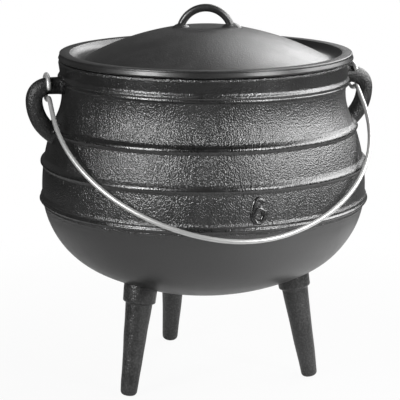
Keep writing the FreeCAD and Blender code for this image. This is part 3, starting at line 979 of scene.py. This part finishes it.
@dataclass
class Numeral:
    """The plain raised size numeral between the two lower beads, in millimetres.

    Attributes:
        turn: Degrees from the front of the belly towards the right ear.
        level: Height of the numeral's middle.
        half_width: Half its width.
        half_height: Half its height.
        stroke: Half the width of its stroke.
        taper: Shares of that width left at the stroke's end and next to it.
        rise: How far it stands off the wall.
        sunk: How far its edges lie under the wall's face.
        root: How far its underside lies under it.
        step: Gap between points along the stroke.
    """

    turn: float = 3.1
    level: float = 202.0
    half_width: float = 6.0
    half_height: float = 11.2
    stroke: float = 2.3
    taper: Pair = (0.35, 0.8)
    rise: float = 1.7
    sunk: float = 0.15
    root: float = 0.8
    step: float = 0.45

    def line(self) -> np.ndarray:
        """Middle line of the digit: a hook down into a closed bowl.

        It is drawn in a box of -1..1, and its corners are cut three times, at
        a quarter of each side.

        Returns:
            Rows of the place to the right and up.
        """
        hook = np.array([[0.86, 0.62], [0.62, 0.9], [0.14, 1.0], [-0.36, 0.9], [-0.72, 0.52], [-0.92, 0.02]])
        side = np.array([[-0.96, -0.36], [-0.72, -0.8], [-0.16, -1.0], [0.42, -0.9], [0.88, -0.52]])
        bowl = np.array([[0.86, -0.12], [0.46, 0.16], [-0.04, 0.2], [-0.52, 0.0], [-0.82, -0.34]])
        path = np.concatenate([hook, side, bowl]) * [[self.half_width, self.half_height]]
        for _ in range(3):
            start, end = path[:-1], path[1:]
            cuts = np.concatenate([start * 0.75 + end * 0.25, start * 0.25 + end * 0.75], axis=1)
            path = np.concatenate([path[:1], cuts.reshape(-1, 2), path[-1:]])
        return resample(path, self.step)

    def shell(self, wall: Wall) -> Shell:
        """Lay the digit's stroke on the wall.

        Across the stroke the height is rise times (1 - |s|^4) of the share s
        from its middle, less the sunk depth, and the underside is level.

        Args:
            wall: The wall that carries the numeral.

        Returns:
            The closed shell.
        """
        path = self.line()
        direction = unit(np.gradient(path, axis=0))
        sideways = np.stack([-direction[:, 1], direction[:, 0]], axis=1)
        top = np.array([-1.0, -0.86, -0.6, -0.2, 0.2, 0.6, 0.86, 1.0])
        share = np.concatenate([top, [0.5, -0.5]])
        height = np.concatenate([self.rise * (1.0 - np.abs(top) ** 4) - self.sunk, [-self.root, -self.root]])
        width = blunt_ends(len(path), self.stroke, tuple(enumerate(self.taper)))
        flat = path[:, None] + sideways[:, None] * (width[:, None] * share[None])[..., None]
        up = self.level + flat[..., 1]
        radius = wall.radius_at(up) + height[None]
        angle = math.radians(self.turn) + flat[..., 0] / wall.belly_radius
        rings = np.stack([radius * np.sin(angle), -radius * np.cos(angle), up], axis=-1)
        return Shell.from_rings(rings, np.ones(rings.shape[:2])).outward()


@dataclass
class Ears:
    """The two ear loops, in millimetres.

    Attributes:
        bar: Thickness of the bar.
        level: Height of its level stretch.
        reach: How far the middle line gets from the pot's axis.
        corner: Radius of the tight upper corner.
        sweep: Radius of the wide lower bend.
        sweep_angle: Degrees that it turns back.
        root: Length of the straight end in the wall.
        start: Distance from the pot's axis at which the bar starts.
        flare: Greatest flare at the wall.
        flare_reach: How far from the wall it starts.
        growth: How much thicker than the bar the lower root is.
        growth_run: Shares of the way between which it grows.
        seam: Height of the mould seam.
        seam_width: Half its width, as the sine of the angle round the bar.
        uneven: Greatest unevenness.
        uneven_length: Mean length of its waves.
        around: Points round the bar.
        step: Gap between points along it.
        rub: How rubbed the ears are.
        spills: Drops of iron at the left ear's roots: degrees from the ear
            towards the front, height and radius.
    """

    bar: float = 16.4
    level: float = 300.4
    reach: float = 169.6
    corner: float = 14.0
    sweep: float = 40.0
    sweep_angle: float = 56.5
    root: float = 9.0
    start: float = 138.0
    flare: float = 0.6
    flare_reach: float = 7.0
    growth: float = 0.35
    growth_run: Pair = (0.45, 0.75)
    seam: float = 0.15
    seam_width: float = 0.16
    uneven: float = 0.16
    uneven_length: float = 26.0
    around: int = 40
    step: float = 0.9
    rub: float = 0.2
    spills: tuple[Triple, ...] = ((4.4, 307.5, 2.1), (4.7, 301.0, 1.9), (4.2, 263.0, 2.0), (4.4, 257.5, 1.8))

    def spill(self, turn: float, level: float, radius: float, wall: Wall) -> Shell:
        """A drop of iron left at the left ear's root: a ball half sunk in the wall.

        Args:
            turn: Degrees from the ear towards the front.
            level: Height of its middle.
            radius: Its radius.
            wall: The wall that carries it.

        Returns:
            The closed shell.
        """
        ball = revolve(arc((0.0, 0.0), radius, -90.0, 90.0, self.step / 3.0), self.around // 2)
        reach = float(wall.radius_at(np.array(level)))
        side = math.radians(turn)
        ball.points = ball.points + [[-reach * math.cos(side), -reach * math.sin(side), level]]
        return ball.outward()

    def path(self) -> np.ndarray:
        """Middle line in the XZ plane: level bar, tight corner, wide sweep, straight root.

        Returns:
            Rows of x, y, z.
        """
        corner_centre = (self.reach - self.corner, self.level - self.corner)
        sweep_centre = (self.reach - self.sweep, corner_centre[1])
        bar = np.array([[self.start, self.level]])
        corner = arc(corner_centre, self.corner, 90.0, 0.0)
        sweep = arc(sweep_centre, self.sweep, 0.0, -self.sweep_angle)
        lean = math.radians(self.sweep_angle)
        end = sweep[-1:] - self.root * np.array([[math.sin(lean), math.cos(lean)]])
        return upright(resample(join_path(bar, corner, sweep, end), self.step))

    def shell(self, side: float, wall: Wall) -> Shell:
        """One ear, with fillets at the wall and a fine mould seam round its outside.

        The radius is half the bar, plus the lower root's growth, a
        quarter-round flare near the wall, the seam's ridge and a slow
        unevenness.

        Args:
            side: 1 for the right ear, -1 for the left.
            wall: The wall that carries the ears.

        Returns:
            The closed shell.
        """
        path = self.path()
        clear = np.clip((path[:, 0] - wall.radius_at(path[:, 2])) / self.flare_reach, 0.0, 1.0)
        flare = self.flare * (1.0 - np.sqrt(1.0 - (1.0 - clear) ** 2))
        run = np.linspace(0.0, 1.0, len(path))
        girth = self.bar / 2.0 + self.growth * smoothstep(*self.growth_run, run) + flare
        seam = self.seam * np.exp(-((np.sin(angles(self.around)) / self.seam_width) ** 2))
        shell = tube(path, ALONG_Y, girth[:, None] + seam[None], self.around)
        shell.mark += self.rub
        shell.points = shell.points + self.uneven * ripple(shell.points, self.uneven_length, seed=11)[:, None]
        shell.points[:, 0] *= side
        return shell.outward()


@dataclass
class Legs:
    """The three splayed legs with their collars, in millimetres.

    Attributes:
        phase: Degrees from the right ear to the first leg.
        count: How many legs.
        splay: Degrees that a leg leans out.
        foot_radius: Distance of a foot from the pot's axis.
        foot_width: Thickness of a leg at its foot.
        foot_rounding: Rounding of the foot.
        foot_flat: How much of the foot's lowest point its flat takes away.
        top_width: Thickness of a leg under its collar.
        collar_width: Thickness of the collar.
        collar_level: Height at which it starts.
        collar_step: Length of the step up to it.
        collar_taper: How much narrower it starts than it ends.
        collar_hollow: Rounding of the corner under it.
        collar_rounding: Rounding of its edge.
        collar_length: Length of its tapered stretch.
        sunk_length: Length from the collar's start to the end inside the pot.
        uneven: Greatest unevenness.
        uneven_length: Mean length of its waves.
        uneven_from: Lengths up the leg between which it sets in, the seam too.
        seam: Height of the mould seam.
        seam_width: Half its width.
        seam_from: Distance from the leg's axis at which it starts.
        around: Points round a leg.
        step: Gap between points along it.
        turned: Degrees that each leg is off its even place.
        lowered: How much lower each leg's collar starts.
    """

    phase: float = 94.2
    count: int = 3
    splay: float = 10.1
    foot_radius: float = 110.2
    foot_width: float = 15.8
    foot_rounding: float = 4.5
    foot_flat: float = 0.5
    top_width: float = 26.4
    collar_width: float = 32.6
    collar_level: float = 93.2
    collar_step: float = 0.6
    collar_taper: float = 0.4
    collar_hollow: float = 0.9
    collar_rounding: float = 1.9
    collar_length: float = 12.0
    sunk_length: float = 30.0
    uneven: float = 0.28
    uneven_length: float = 30.0
    uneven_from: Pair = (-2.0, 8.0)
    seam: float = 0.3
    seam_width: float = 1.2
    seam_from: float = 5.0
    around: int = 56
    step: float = 1.1
    turned: tuple[float, ...] = (0.0, -1.3, -0.3)
    lowered: tuple[float, ...] = (0.0, 1.5, 0.0)

    def profile(self, number: int) -> np.ndarray:
        """Half section of a leg.

        Args:
            number: 0, 1 or 2, counted round the pot.

        Returns:
            Rows of the distance from its axis and the length up the axis.
        """
        lean = math.radians(self.splay)
        foot = self.foot_width / 2.0
        lowest = self.foot_rounding + (foot - self.foot_rounding) * math.sin(lean) - self.foot_flat
        end = lowest / math.cos(lean) - self.foot_rounding
        collar = (self.collar_level - self.lowered[number]) / math.cos(lean)
        half = self.collar_width / 2.0
        path = rounded([
            (0.0, end, 0.0), (foot, end, self.foot_rounding),
            (self.top_width / 2.0, collar - self.collar_step, self.collar_hollow),
            (half - self.collar_taper, collar, self.collar_rounding),
            (half, collar + self.collar_length, 0.0),
            (half, collar + self.sunk_length, 0.0), (0.0, collar + self.sunk_length, 0.0),
        ])
        return resample(path, self.step)

    def shell(self, number: int) -> Shell:
        """One leg: its section turned about its own axis, leaned out and turned to its place.

        As in the casting, two of the legs are up to 1.3 degrees off their even places.

        Args:
            number: 0, 1 or 2, counted round the pot.

        Returns:
            The closed shell.
        """
        own_place = [[0.0, 0.0, 500.0 * number]]
        leg = revolve(self.profile(number), self.around)
        place = leg.points
        distance, outward = away_from_axis(place)
        bulge = self.uneven * ripple(place + own_place, self.uneven_length, seed=21 + number)
        seam = self.seam * np.exp(-((place[:, 0] / self.seam_width) ** 2)) * (distance > self.seam_from)
        place = place + outward * ((bulge + seam) * smoothstep(*self.uneven_from, place[:, 2]))[:, None]
        cos, sin = math.cos(math.radians(self.splay)), math.sin(math.radians(self.splay))
        x, y, z = place.T
        out, up = x * cos - z * sin + self.foot_radius, np.maximum(x * sin + z * cos, 0.0)
        turn = self.phase + 360.0 / self.count * number + self.turned[number]
        leg.points = turned_about_z(np.stack([out, y, up], axis=1), turn)
        return leg.outward()


@dataclass
class Pot:
    """The pot casting: wall, numeral, ears and legs."""

    wall: Wall = field(default_factory=Wall)
    numeral: Numeral = field(default_factory=Numeral)
    ears: Ears = field(default_factory=Ears)
    legs: Legs = field(default_factory=Legs)

    def build(
        self, iron: bpy.types.Material, ear_iron: bpy.types.Material, leg_iron: bpy.types.Material
    ) -> list[bpy.types.Object]:
        """Build the casting's pieces in its iron and put them in place of the plain solid.

        Args:
            iron: The skin of the wall and the numeral.
            ear_iron: The duller skin of the ears.
            leg_iron: The drier skin of the legs.

        Returns:
            The new objects.
        """
        loops = [self.ears.shell(side, self.wall) for side in (-1.0, 1.0)]
        spills = [self.ears.spill(*spill, self.wall) for spill in self.ears.spills]
        legs = [self.legs.shell(number) for number in range(self.legs.count)]
        pieces = [
            self.wall.shell().outward().build("pot_wall", iron),
            self.numeral.shell(self.wall).build("size_numeral", iron),
            Shell.join(loops + spills).build("pot_ears", ear_iron),
            Shell.join(legs).build("pot_legs", leg_iron),
        ]
        for piece in pieces:
            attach(piece, POT_BODY)
            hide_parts("pot")
        return pieces


@dataclass
class Lid:
    """The lid casting and its bent rod, in millimetres, before the lid is turned on the rim.

    Attributes:
        base: Height of the ring's underside.
        radius: Outer radius of the ring.
        edge: Height of the ring over its underside.
        ring: Width of the ring.
        rise: Height of the dome's top over the ring's underside.
        wall: Thickness of the dome.
        plateau: Radius of the dome's flat top.
        plateau_rows: Radii of the rows on it.
        dome: Radius of the dome's arc.
        gutter_width: Width of the gutter inside the ring.
        gutter_depth: Its depth.
        gutter: Radius of its arc.
        lip_radius: Outer radius of the part that drops into the mouth.
        lip_width: Width of that part.
        lip_depth: How far it drops.
        lip_taper: How much narrower it is at its lower edge.
        lip_rounding: Rounding of that edge.
        clear: Play between the ring's underside and the rim.
        edge_step: Depth of the step in the ring's edge.
        step_drops: How far under the ring's top the step starts and ends.
        under_rounding: How far in from the edge the underside is rounded off.
        shift: How far the lid lies off the pot's axis.
        turn: Degrees that it is turned on the rim, away from the ears.
        rod: Thickness of the rod.
        arch_radius: Radius of its arch.
        arch_rise: Height of its middle line over the dome's top.
        rod_seat: How deep its ends sit in the casting.
        rod_bevel: Place of the points at its ends and the share of its thickness left there.
        rod_step: Gap between points along it.
        rod_around: Points round it.
        boss_width: Width of the lumps round them.
        boss_rise: Height of the lumps.
        boss_inward: How far in from the rod's ends their middles are.
        boss_lobes: Shares of the width by which two and three lobes stand out.
        boss_uneven: Share of the height that differs round a lump.
        boss_edge: How far a lump's edge runs down into the lid.
        boss_sag: Fall with the dome, for each square millimetre beyond the plateau.
        boss_sunk: How far under the dome's top a lump's underside is.
        boss_around: Points round a lump.
        boss_rings: Rings from its middle to its edge, counting the middle.
        worn_width: Width of the ring's worn edge.
        uneven: Greatest unevenness of the dome.
        uneven_length: Mean length of its waves.
        uneven_ends: Radii between which it fades out.
        columns: Points round the lid.
    """

    base: float = 322.0
    radius: float = 145.46
    edge: float = 7.2
    ring: float = 11.3
    rise: float = 30.9
    wall: float = 5.5
    plateau: float = 30.0
    plateau_rows: tuple[float, ...] = (0.0, 6.0, 14.0, 22.0)
    dome: float = 285.0
    gutter_width: float = 15.2
    gutter_depth: float = 6.0
    gutter: float = 10.9
    lip_radius: float = 133.3
    lip_width: float = 16.0
    lip_depth: float = 5.6
    lip_taper: float = 0.6
    lip_rounding: float = 1.2
    clear: float = 0.02
    edge_step: float = 1.2
    step_drops: Pair = (2.0, 5.2)
    under_rounding: float = 3.6
    shift: float = 2.3
    turn: float = 15.0
    rod: float = 7.6
    arch_radius: float = 25.6
    arch_rise: float = 18.7
    rod_seat: float = 3.6
    rod_bevel: tuple[tuple[int, float], ...] = ((0, 0.7),)
    rod_step: float = 0.8
    rod_around: int = 36
    boss_width: float = 19.2
    boss_rise: float = 3.6
    boss_inward: float = 0.6
    boss_lobes: Pair = (0.1, 0.06)
    boss_uneven: float = 0.16
    boss_edge: float = 0.5
    boss_sag: float = 0.012
    boss_sunk: float = 3.0
    boss_around: int = 48
    boss_rings: int = 16
    worn_width: float = 3.0
    uneven: float = 0.12
    uneven_length: float = 60.0
    uneven_ends: Pair = (128.0, 110.0)
    columns: int = 256

    def profile(self) -> np.ndarray:
        """Section of the lid, from the middle of its top round to the middle of its underside.

        Returns:
            Rows of radius and height.
        """
        top, ring_top, under = self.base + self.rise, self.base + self.edge, self.base + self.clear
        ring_inner, stepped = self.radius - self.ring, self.radius - self.edge_step
        lip_end = (self.lip_radius - self.lip_width, self.base - self.lip_depth)
        foot = (ring_inner - self.gutter_width, ring_top - self.gutter_depth)
        flat = np.array([[radius, top] for radius in self.plateau_rows])
        dome = bowed((self.plateau, top), foot, self.dome, -1.0)
        gutter = bowed(foot, (ring_inner - 0.9, ring_top - 1.4), self.gutter, 1.0)
        edge = rounded([
            (*gutter[-1], 0.0), (ring_inner - 0.1, ring_top, 1.0), (stepped, ring_top, 0.8),
            (stepped, ring_top - self.step_drops[0], 0.3), (self.radius, ring_top - self.step_drops[1], 0.8),
            (self.radius - 0.4, self.base + 0.9, 0.7), (self.radius - self.under_rounding, under, 1.0),
            (self.lip_radius, under, 0.4),
            (self.lip_radius - self.lip_taper, lip_end[1], self.lip_rounding), (*lip_end, 0.0),
        ], 0.35)
        underside = bowed(lip_end, (self.plateau, top - self.wall), self.dome - self.wall, 1.0)
        end = np.array([[0.0, top - self.wall]])
        return join_path(flat, dome, gutter[1:], edge[1:], underside[1:], end)

    def arch(self) -> np.ndarray:
        """Middle line of the bent rod, in the XZ plane, from one socket over to the other.

        Returns:
            Rows of x, y, z.
        """
        top = self.base + self.rise
        centre = top + self.arch_rise - self.arch_radius
        down = math.degrees(math.asin((top - self.rod_seat - centre) / self.arch_radius))
        return upright(arc((0.0, centre), self.arch_radius, 180.0 - down, down, self.rod_step))

    def boss(self, side: float) -> Shell:
        """The lump where the rod enters the lid.

        Over a lobed disc the height at the share s from the middle is the
        rise times (1 - s^2.4)^1.3, uneven round the lump. It follows the
        dome's fall beyond the plateau and goes down to just under the top.

        Args:
            side: -1 for the left lump, 1 for the right.

        Returns:
            The closed shell.
        """
        top = self.base + self.rise
        half = abs(self.arch()[0, 0])
        around = angles(self.boss_around)
        share = np.linspace(0.0, 1.0, self.boss_rings)[1:, None]
        two, three = self.boss_lobes
        lobes = 1.0 + two * np.sin(2.0 * around + 0.8 * side) + three * np.sin(3.0 * around + 2.0)
        reach = self.boss_width / 2.0 * lobes
        x = side * (half - self.boss_inward) + share * reach * np.cos(around)
        y = share * reach * np.sin(around)
        rise = self.boss_rise * (1.0 - share**2.4) ** 1.3
        rise = rise * (1.0 + self.boss_uneven * np.sin(around * 2.0 + side))
        edge = self.boss_edge * smoothstep(0.8, 1.0, share)
        sag = self.boss_sag * np.maximum(np.hypot(x, y) - self.plateau, 0.0) ** 2
        upper = np.stack([x, y, top + (rise - edge) - sag], axis=-1)
        lower = upper[::-1].copy()
        lower[..., 2] = top - self.boss_sunk
        return Shell.from_rings(np.concatenate([upper, lower])).outward()

    def seat(self, shell: Shell) -> Shell:
        """Move a shell by the lid's play along X, then turn it by the lid's turn about Z.

        Args:
            shell: The shell as drawn.

        Returns:
            The same shell in its place.
        """
        shell.points = turned_about_z(shell.points + [[self.shift, 0.0, 0.0]], -self.turn)
        return shell

    def build(self, iron: bpy.types.Material, dark: bpy.types.Material) -> list[bpy.types.Object]:
        """Build the lid and its rod, and put them in place of the plain solids.

        Args:
            iron: The skin of the lid.
            dark: The finish of the rod.

        Returns:
            The new objects.
        """
        section = self.profile()
        worn = (section[:, 0] > self.radius - self.worn_width) * 1.0
        plate = revolve(section, self.columns, worn).outward()
        distance, _ = away_from_axis(plate.points)
        uneven = self.uneven * ripple(plate.points, self.uneven_length, seed=5)
        plate.points[:, 2] += uneven * smoothstep(*self.uneven_ends, distance)
        lid = self.seat(Shell.join([plate, self.boss(-1.0), self.boss(1.0)])).build("lid_plate", iron)
        path = self.arch()
        radii = blunt_ends(len(path), self.rod / 2.0, self.rod_bevel)
        rod = self.seat(tube(path, ALONG_Y, radii, self.rod_around).outward()).build("lid_rod", dark)
        for piece, node, slot in ((lid, "lid", "lid_iron"), (rod, "lid_handle", "dark_rod")):
            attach(piece, POT_BODY)
            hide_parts(node)
        return [lid, rod]


@dataclass
class Bail:
    """The wire bail, in millimetres, drawn hanging straight down from its hinge and then leaned.

    Attributes:
        wire: Thickness of the wire.
        hinge_height: Height of the hinge's line.
        ring: Radius of the hook's middle line round the ear's bar.
        bend: Radius of the bend back from the hook to the straight.
        left_tip: Degrees that the left hook's tip ends under the hinge's level.
        right_tip: The same of the right hook.
        half_span: Half the distance between the hooks.
        straight: How far under the hinge the wire's straight ends.
        bow: Radius of the bow's middle.
        touch_radius: Distance of the wire from the pot's axis where it leans on the belly.
        touch_level: Height of that place.
        touch: How far to the side of the middle it is.
        step: Gap between points along the wire.
        bevel: Places from the wire's end and the shares of its thickness left there.
        around: Points round the wire.
    """

    wire: float = 4.5
    hinge_height: float = 299.2
    ring: float = 12.05
    bend: float = 8.0
    left_tip: float = 6.0
    right_tip: float = -32.0
    half_span: float = 156.9
    straight: float = 39.0
    bow: float = 120.0
    touch_radius: float = 167.87
    touch_level: float = 186.0
    touch: float = 64.0
    step: float = 1.15
    bevel: tuple[tuple[int, float], ...] = ((0, 0.75), (1, 0.97))
    around: int = 24

    def __post_init__(self) -> None:
        """Work out the lean and reach that lay the wire against the belly bead."""
        out = math.sqrt(self.touch_radius**2 - self.touch**2)
        fall = self.hinge_height - self.touch_level
        self.lean = math.degrees(math.atan2(out, fall))
        inward, under = self.half_span - self.touch, math.hypot(out, fall) - self.straight
        self.side = (inward**2 + under**2) / (2.0 * inward)
        below = math.sqrt((self.side - self.bow) ** 2 - (self.side - self.half_span) ** 2)
        self.reach = self.straight + below + self.bow

    def half(self, tip_below: float) -> tuple[np.ndarray, np.ndarray]:
        """One half of the wire's middle line, from the hook's tip to the middle of the bow.

        Args:
            tip_below: Degrees that the tip ends under the level of the hinge.

        Returns:
            The points, and how far the line lies in the hook's plane at each.
        """
        drop = math.sqrt((self.ring + self.bend) ** 2 - self.bend**2)
        leave = math.degrees(math.atan2(-drop, self.bend))
        ring = arc((0.0, 0.0), self.ring, 180.0 + self.lean + tip_below, leave)
        back = arc((self.bend, -drop), self.bend, 180.0 + leave, 180.0)
        hook = join_path(ring, back)
        hook = np.stack([0.0 * hook[:, 0] + self.half_span, hook[:, 0], hook[:, 1]], axis=1)
        down = self.reach - self.bow - self.straight
        joint = math.degrees(math.atan2(-down, self.side - self.half_span))
        side_arc = arc((self.half_span - self.side, -self.straight), self.side, 0.0, joint, 1.0)
        bow_arc = arc((0.0, self.bow - self.reach), self.bow, joint, -90.0, 1.0)
        path = resample(join_path(hook, upright(join_path(side_arc, bow_arc))), self.step)
        margin = 2.0
        on_hook = smoothstep(margin - self.straight, -drop - margin, path[:, 2])
        return path, np.where(np.abs(path[:, 1]) > 1e-6, 1.0, on_hook)

    def build(self, zinc: bpy.types.Material) -> bpy.types.Object:
        """Build the wire: both halves of the line, a round section, leaned forward about X.

        Args:
            zinc: The finish of the wire.

        Returns:
            The new object.
        """
        left, left_share = self.half(self.left_tip)
        right, right_share = self.half(self.right_tip)
        line = np.concatenate([left * [[-1.0, 1.0, 1.0]], right[::-1][1:]])
        share = np.concatenate([left_share, right_share[::-1][1:]])[:, None]
        side = share * [[1.0, 0.0, 0.0]] + (1.0 - share) * ALONG_Y[None]
        shell = tube(line, side, blunt_ends(len(line), self.wire / 2.0, self.bevel), self.around).outward()
        cos, sin = math.cos(math.radians(self.lean)), math.sin(math.radians(self.lean))
        x, y, z = shell.points.T
        shell.points = np.stack([x, y * cos + z * sin, z * cos - y * sin + self.hinge_height], axis=1)
        wire = shell.build("bail_wire", zinc)
        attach(wire, BAIL_BODY)
        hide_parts("bail")
        return wire


# The studio

@dataclass
class Lamp:
    """A soft box, aimed at the middle of the pot.

    Attributes:
        name: Name of the lamp.
        azimuth: Degrees to the right of the camera's side, seen from above.
        elevation: Degrees above the level.
        width: Metres across.
        height: Metres high.
        power: Watts.
    """

    name: str
    azimuth: float
    elevation: float
    width: float
    height: float
    power: float


@dataclass
class Studio:
    """Floor, backdrop, lamps and camera.

    Attributes:
        camera_turn: Turn of the camera about the pot, in degrees.
        camera_pitch: Degrees that it looks down.
        camera_place: Where it stands, in metres.
        lens: Focal length in millimetres.
        sensor: Width of the frame that it fills, in millimetres.
        clip: Nearest and farthest distance that it sees, in metres.
        aim: What the lamps face, in metres.
        lamp_distance: How far from it they hang, in metres.
        lamps: The soft boxes.
        backdrop: Light of the white backdrop behind the pot.
        room: Light of the room on the camera's side.
        behind: Cosines, towards the camera, between which the backdrop goes over to the room.
        gloss_behind: The same where the backdrop that gloss shows ends.
        floor_half: Half the width of the floor, in metres.
        painted_pool: Distances from the pot between which the pale patch of painted light under it ends, in
            metres.
        painted_pool_grey: Grey of that painted pool of light, which also lights the pot from below.
        floor_white: Grey of the floor beyond it, darker as painted falloff of the light.
        shadow: Distances between which the floor's own shadow fades, in metres.
        shadow_white: Share of white that the camera sees without shadow, close to the pot.
        gloss_share: Share of the floor's and backdrop's white that gloss shows.
        painted_reflection_right: The same of the floor to the right of the pot: a painted pool of light that
            only reflections show.
        right: Distances to the right between which it goes over, in metres.
    """

    camera_turn: float = -15.0
    camera_pitch: float = 12.593
    camera_place: Triple = (-0.42596, -1.5765, 0.54302)
    lens: float = 149.6
    sensor: float = 36.0
    clip: Pair = (0.05, 60.0)
    aim: Triple = (0.0, 0.0, 0.2)
    lamp_distance: float = 1.7
    lamps: tuple[Lamp, ...] = (
        Lamp("left_box", azimuth=-45.0, elevation=25.0, width=0.37, height=1.0, power=19.0),
        Lamp("near_right_box", azimuth=46.0, elevation=25.0, width=0.4, height=1.0, power=16.0),
        Lamp("right_box", azimuth=101.0, elevation=28.0, width=1.5, height=1.1, power=31.0),
        Lamp("back_box", azimuth=150.0, elevation=36.0, width=0.8, height=1.2, power=18.0),
    )
    backdrop: float = 0.1
    room: float = 0.02
    behind: Pair = (-0.6, 0.25)
    gloss_behind: Pair = (-0.98, -0.85)
    floor_half: float = 14.0
    painted_pool: Pair = (0.3, 0.7)
    painted_pool_grey: float = 0.45
    floor_white: float = 0.1
    shadow: Pair = (0.2, 0.6)
    shadow_white: float = 0.94
    gloss_share: float = 0.1
    painted_reflection_right: float = 1.0
    right: Pair = (0.02, 0.34)

    def facing(self) -> Pair:
        """Cosine and sine of the camera's turn."""
        turn = math.radians(self.camera_turn)
        return math.cos(turn), math.sin(turn)

    def floor(self) -> None:
        """Lay a wide floor that the camera sees white with a faint shadow, with a painted pool of light near
        the pot that glows for gloss.
        """
        half = self.floor_half
        corners = [(-half, -half, 0.0), (half, -half, 0.0), (half, half, 0.0), (-half, half, 0.0)]
        mesh = bpy.data.meshes.new("floor")
        mesh.from_pydata(corners, [], [(0, 1, 2, 3)])
        material = bpy.data.materials.new("white paper")
        bench = Bench.emptied(material)
        place = bench.place()
        away = bench.put("ShaderNodeVectorMath", {0: place}, operation="LENGTH").outputs["Value"]
        # Painted light: a pale pool near the pot and painted darker falloff beyond, which lights the pot by
        # bounce and in reflections.
        near = bench.fade(away, self.painted_pool, 1.0, 0.0)
        from_camera, from_gloss = bench.rays()
        cos, sin = self.facing()
        # Painted light: for gloss rays the floor glows, more strongly to the pot's right, to give a painted
        # reflection on the lower belly.
        painted_right_glow = bench.fade(bench.along(place, (cos, sin, 0.0)), self.right, self.gloss_share, self.painted_reflection_right)
        second = bench.math("MULTIPLY", bench.math("MULTIPLY", from_gloss, near), painted_right_glow)
        first = bench.math("MULTIPLY", from_camera, bench.fade(away, self.shadow, self.shadow_white, 1.0))
        colour = bench.blend(near, grey(self.floor_white), grey(self.painted_pool_grey))
        painted_pool = bench.put("ShaderNodeBsdfDiffuse", {"Color": colour})
        glow = bench.put("ShaderNodeEmission", {"Color": grey(1.0), "Strength": 1.0})
        share = bench.math("MAXIMUM", first, second)
        mix = bench.put("ShaderNodeMixShader", {0: share, 1: painted_pool.outputs[0], 2: glow.outputs[0]})
        bench.put("ShaderNodeOutputMaterial", {"Surface": mix.outputs[0]})
        mesh.materials.append(material)
        floor = bpy.data.objects.new("floor", mesh)
        bpy.context.scene.collection.objects.link(floor)

    def surroundings(self) -> None:
        """Set a world that is white behind the object, and a dim grey as a source of light."""
        world = bpy.data.worlds.new("studio")
        bpy.context.scene.world = world
        bench = Bench.emptied(world)
        from_camera, from_gloss = bench.rays()
        cos, sin = self.facing()
        toward_camera = bench.along(bench.place("Generated"), (sin, -cos, 0.0))
        shown = bench.fade(toward_camera, self.gloss_behind, self.gloss_share, 0.0)
        around = bench.fade(toward_camera, self.behind, self.backdrop, self.room)
        white = bench.math("MAXIMUM", from_camera, bench.math("MULTIPLY", shown, from_gloss))
        strength = bench.math("MAXIMUM", white, around)
        sky = bench.put("ShaderNodeBackground", {"Color": grey(1.0), "Strength": strength})
        bench.put("ShaderNodeOutputWorld", {"Surface": sky.outputs[0]})

    def light(self, lamp: Lamp) -> None:
        """Hang one lamp so that it faces the middle of the pot.

        Args:
            lamp: The lamp.
        """
        data = bpy.data.lights.new(lamp.name, "AREA")
        data.shape = "RECTANGLE"
        data.size, data.size_y, data.energy = lamp.width, lamp.height, lamp.power
        turn = math.radians(self.camera_turn + lamp.azimuth)
        up = math.radians(lamp.elevation)
        thing = bpy.data.objects.new(lamp.name, data)
        thing.location = (
            self.aim[0] + self.lamp_distance * math.sin(turn) * math.cos(up),
            self.aim[1] - self.lamp_distance * math.cos(turn) * math.cos(up),
            self.aim[2] + self.lamp_distance * math.sin(up),
        )
        thing.rotation_euler = (math.pi / 2.0 - up, 0.0, turn)
        thing.visible_camera = False
        bpy.context.scene.collection.objects.link(thing)

    def camera(self) -> None:
        """Set up the camera at the photograph's angle, with a long lens."""
        data = bpy.data.cameras.new("camera")
        data.lens, data.sensor_width = self.lens, self.sensor
        data.clip_start, data.clip_end = self.clip
        thing = bpy.data.objects.new("camera", data)
        thing.location = self.camera_place
        thing.rotation_euler = (math.radians(90.0 - self.camera_pitch), 0.0, math.radians(self.camera_turn))
        bpy.context.scene.collection.objects.link(thing)
        bpy.context.scene.camera = thing

    def build(self) -> None:
        """Set up everything round the object."""
        self.floor()
        self.surroundings()
        for lamp in self.lamps:
            self.light(lamp)
        self.camera()
        bpy.context.scene.view_settings.view_transform = "Standard"


def main() -> None:
    """Build every piece and the studio, and log each piece's points and faces."""
    logging.basicConfig(level=logging.INFO, format="%(name)s: %(message)s")
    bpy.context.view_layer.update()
    grain, seasoning = SandGrain(), Seasoning()
    pot_iron, ear_iron, leg_iron, lid_iron, dark_rod = (
        finish.value.make(grain, seasoning)
        for finish in (Finish.POT, Finish.EAR, Finish.LEG, Finish.LID, Finish.ROD)
    )
    zinc = Finish.WIRE.value.make(seasoning)
    pieces = Pot().build(pot_iron, ear_iron, leg_iron)
    pieces += Lid().build(lid_iron, dark_rod)
    pieces.append(Bail().build(zinc))
    for piece in pieces:
        log.info("%s: %d points, %d faces", piece.name, len(piece.data.vertices), len(piece.data.polygons))
    Studio().build()


if __name__ == "__main__":
    main()
